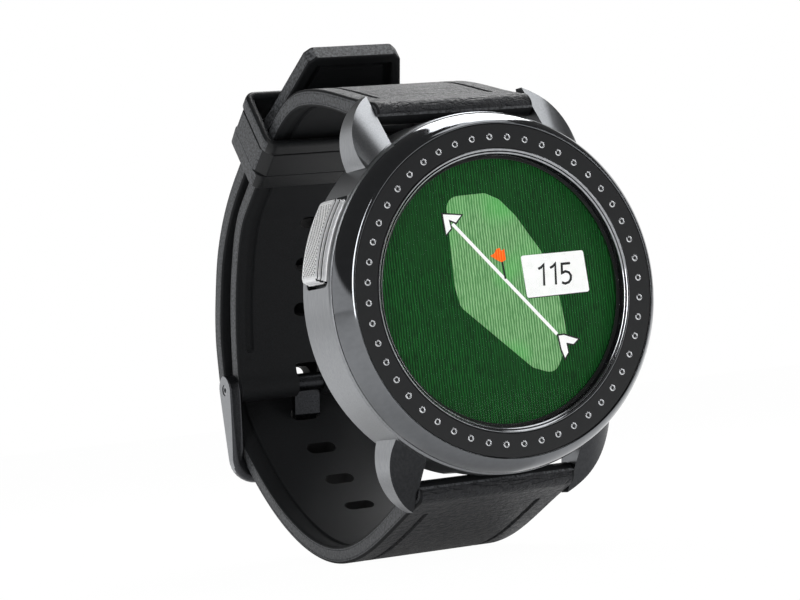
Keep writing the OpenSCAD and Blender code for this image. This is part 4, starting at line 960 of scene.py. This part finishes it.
# ---- Stage ----
# A pale floor under the strap, a white surround, four soft lamps and the camera. The floor keeps the
# watch's shadow, and shines white to the camera and faintly in the metal.
low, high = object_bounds()
sheet = bmesh.new()
bmesh.ops.create_grid(sheet, x_segments=1, y_segments=1, size=3.0, matrix=Matrix.Translation((0, 0, low.z)))
pale, tree, shader = blank("pale_floor")
shader.inputs["Base Color"].default_value = linear("#fbfbfb")
shader.inputs["Roughness"].default_value = 0.9
seen = add(tree, "ShaderNodeLightPath")
glow = add(tree, "ShaderNodeEmission", {"Color": linear("#ffffff"), "Strength": 1.0})
mirrored = add(tree, "ShaderNodeMath", {0: seen.outputs["Is Glossy Ray"], 1: 0.35}, operation="MULTIPLY")
share = add(tree, "ShaderNodeMath", {0: seen.outputs["Is Camera Ray"], 1: 0.985, 2: mirrored.outputs[0]},
            operation="MULTIPLY_ADD")
both = add(tree, "ShaderNodeMixShader", {0: share.outputs[0], 1: shader.outputs[0], 2: glow.outputs[0]})
tree.links.new(both.outputs[0], tree.nodes["Material Output"].inputs["Surface"])
solid("floor", sheet, [pale])

# The world is the white surround for the camera. In reflections it is white low down behind the watch and to
# its left, like a sweep of paper, and a dim room in front and above. As light it is an even dim grey.
world = bpy.data.worlds.new("studio")
bpy.context.scene.world = world
world.use_nodes = True
tree = world.node_tree
seen = add(tree, "ShaderNodeLightPath")
toward = add(tree, "ShaderNodeSeparateXYZ", {"Vector": add(tree, "ShaderNodeTexCoord").outputs["Generated"]})
round_left = add(tree, "ShaderNodeMath", {0: toward.outputs["X"], 1: -0.6, 2: toward.outputs["Y"]},
                 operation="MULTIPLY_ADD")
behind = add(tree, "ShaderNodeMapRange", {"Value": round_left.outputs[0], "From Min": -0.15, "From Max": 0.05})
sloped = add(tree, "ShaderNodeMath", {0: toward.outputs["Y"], 1: -0.22, 2: toward.outputs["Z"]},
             operation="MULTIPLY_ADD")
below = add(tree, "ShaderNodeMapRange", {"Value": sloped.outputs[0], "From Min": 0.22, "From Max": 0.16})
paper = add(tree, "ShaderNodeMath", {0: behind.outputs["Result"], 1: below.outputs["Result"]}, operation="MULTIPLY")
room = add(tree, "ShaderNodeMapRange", {"Value": paper.outputs[0], "To Min": 0.09, "To Max": 1.0})
sharp = add(tree, "ShaderNodeMath", {0: seen.outputs["Is Glossy Ray"], 1: seen.outputs["Is Transmission Ray"]},
            operation="MAXIMUM")
unseen = add(tree, "ShaderNodeMix", {0: sharp.outputs[0], 2: 0.52, 3: room.outputs["Result"]}, data_type="FLOAT")
strength = add(tree, "ShaderNodeMix", {0: seen.outputs["Is Camera Ray"], 2: unseen.outputs[0], 3: 1.0},
               data_type="FLOAT")
background = tree.nodes["Background"]
background.inputs["Color"].default_value = linear("#ffffff")
tree.links.new(strength.outputs[0], background.inputs["Strength"])


def lamp(name, spot, size, radiance, roll=0.0):
    """A soft rectangular lamp at a spot, aimed at the watch and rolled by an angle, of an even brightness."""
    light = bpy.data.lights.new(name, "AREA")
    light.shape = "RECTANGLE"
    light.size, light.size_y = size
    light.energy = radiance * math.pi * size[0] * size[1]
    obj = bpy.data.objects.new(name, light)
    bpy.context.scene.collection.objects.link(obj)
    obj.location = spot
    aim = (Vector((0, 0.01, 0)) - Vector(spot)).to_track_quat("-Z", "Y")
    obj.rotation_euler = (aim.to_matrix() @ Matrix.Rotation(math.radians(roll), 3, "Z")).to_euler()


lamp("top_lamp", (0.2, 0.2, 0.41), (0.25, 0.4), 6.5, 30)
lamp("front_top_lamp", (0.18, -0.12, 0.44), (0.2, 0.22), 2)
lamp("strip_lamp", (-0.45, -0.39, 0.16), (0.06, 0.8), 8)
lamp("right_lamp", (0.5, -0.35, 0.15), (0.08, 0.5), 6)

# The camera stands to the left of the dial, nearly level, and leans a little.
CAMERA_HEADING, CAMERA_PITCH, CAMERA_ROLL = math.radians(26.914), math.radians(1.9169), math.radians(-6.429)
camera = bpy.data.cameras.new("camera")
camera.lens = 126.3
camera.sensor_width = 36
camera.clip_start = 0.01
view = bpy.data.objects.new("camera", camera)
bpy.context.scene.collection.objects.link(view)
view.matrix_world = (Matrix.Translation((-0.16573, -0.31133, -0.01116)) @ Matrix.Rotation(-CAMERA_HEADING, 4, "Z")
                     @ Matrix.Rotation(math.pi / 2 + CAMERA_PITCH, 4, "X") @ Matrix.Rotation(CAMERA_ROLL, 4, "Z"))
bpy.context.scene.camera = view
bpy.context.scene.view_settings.view_transform = "Standard"
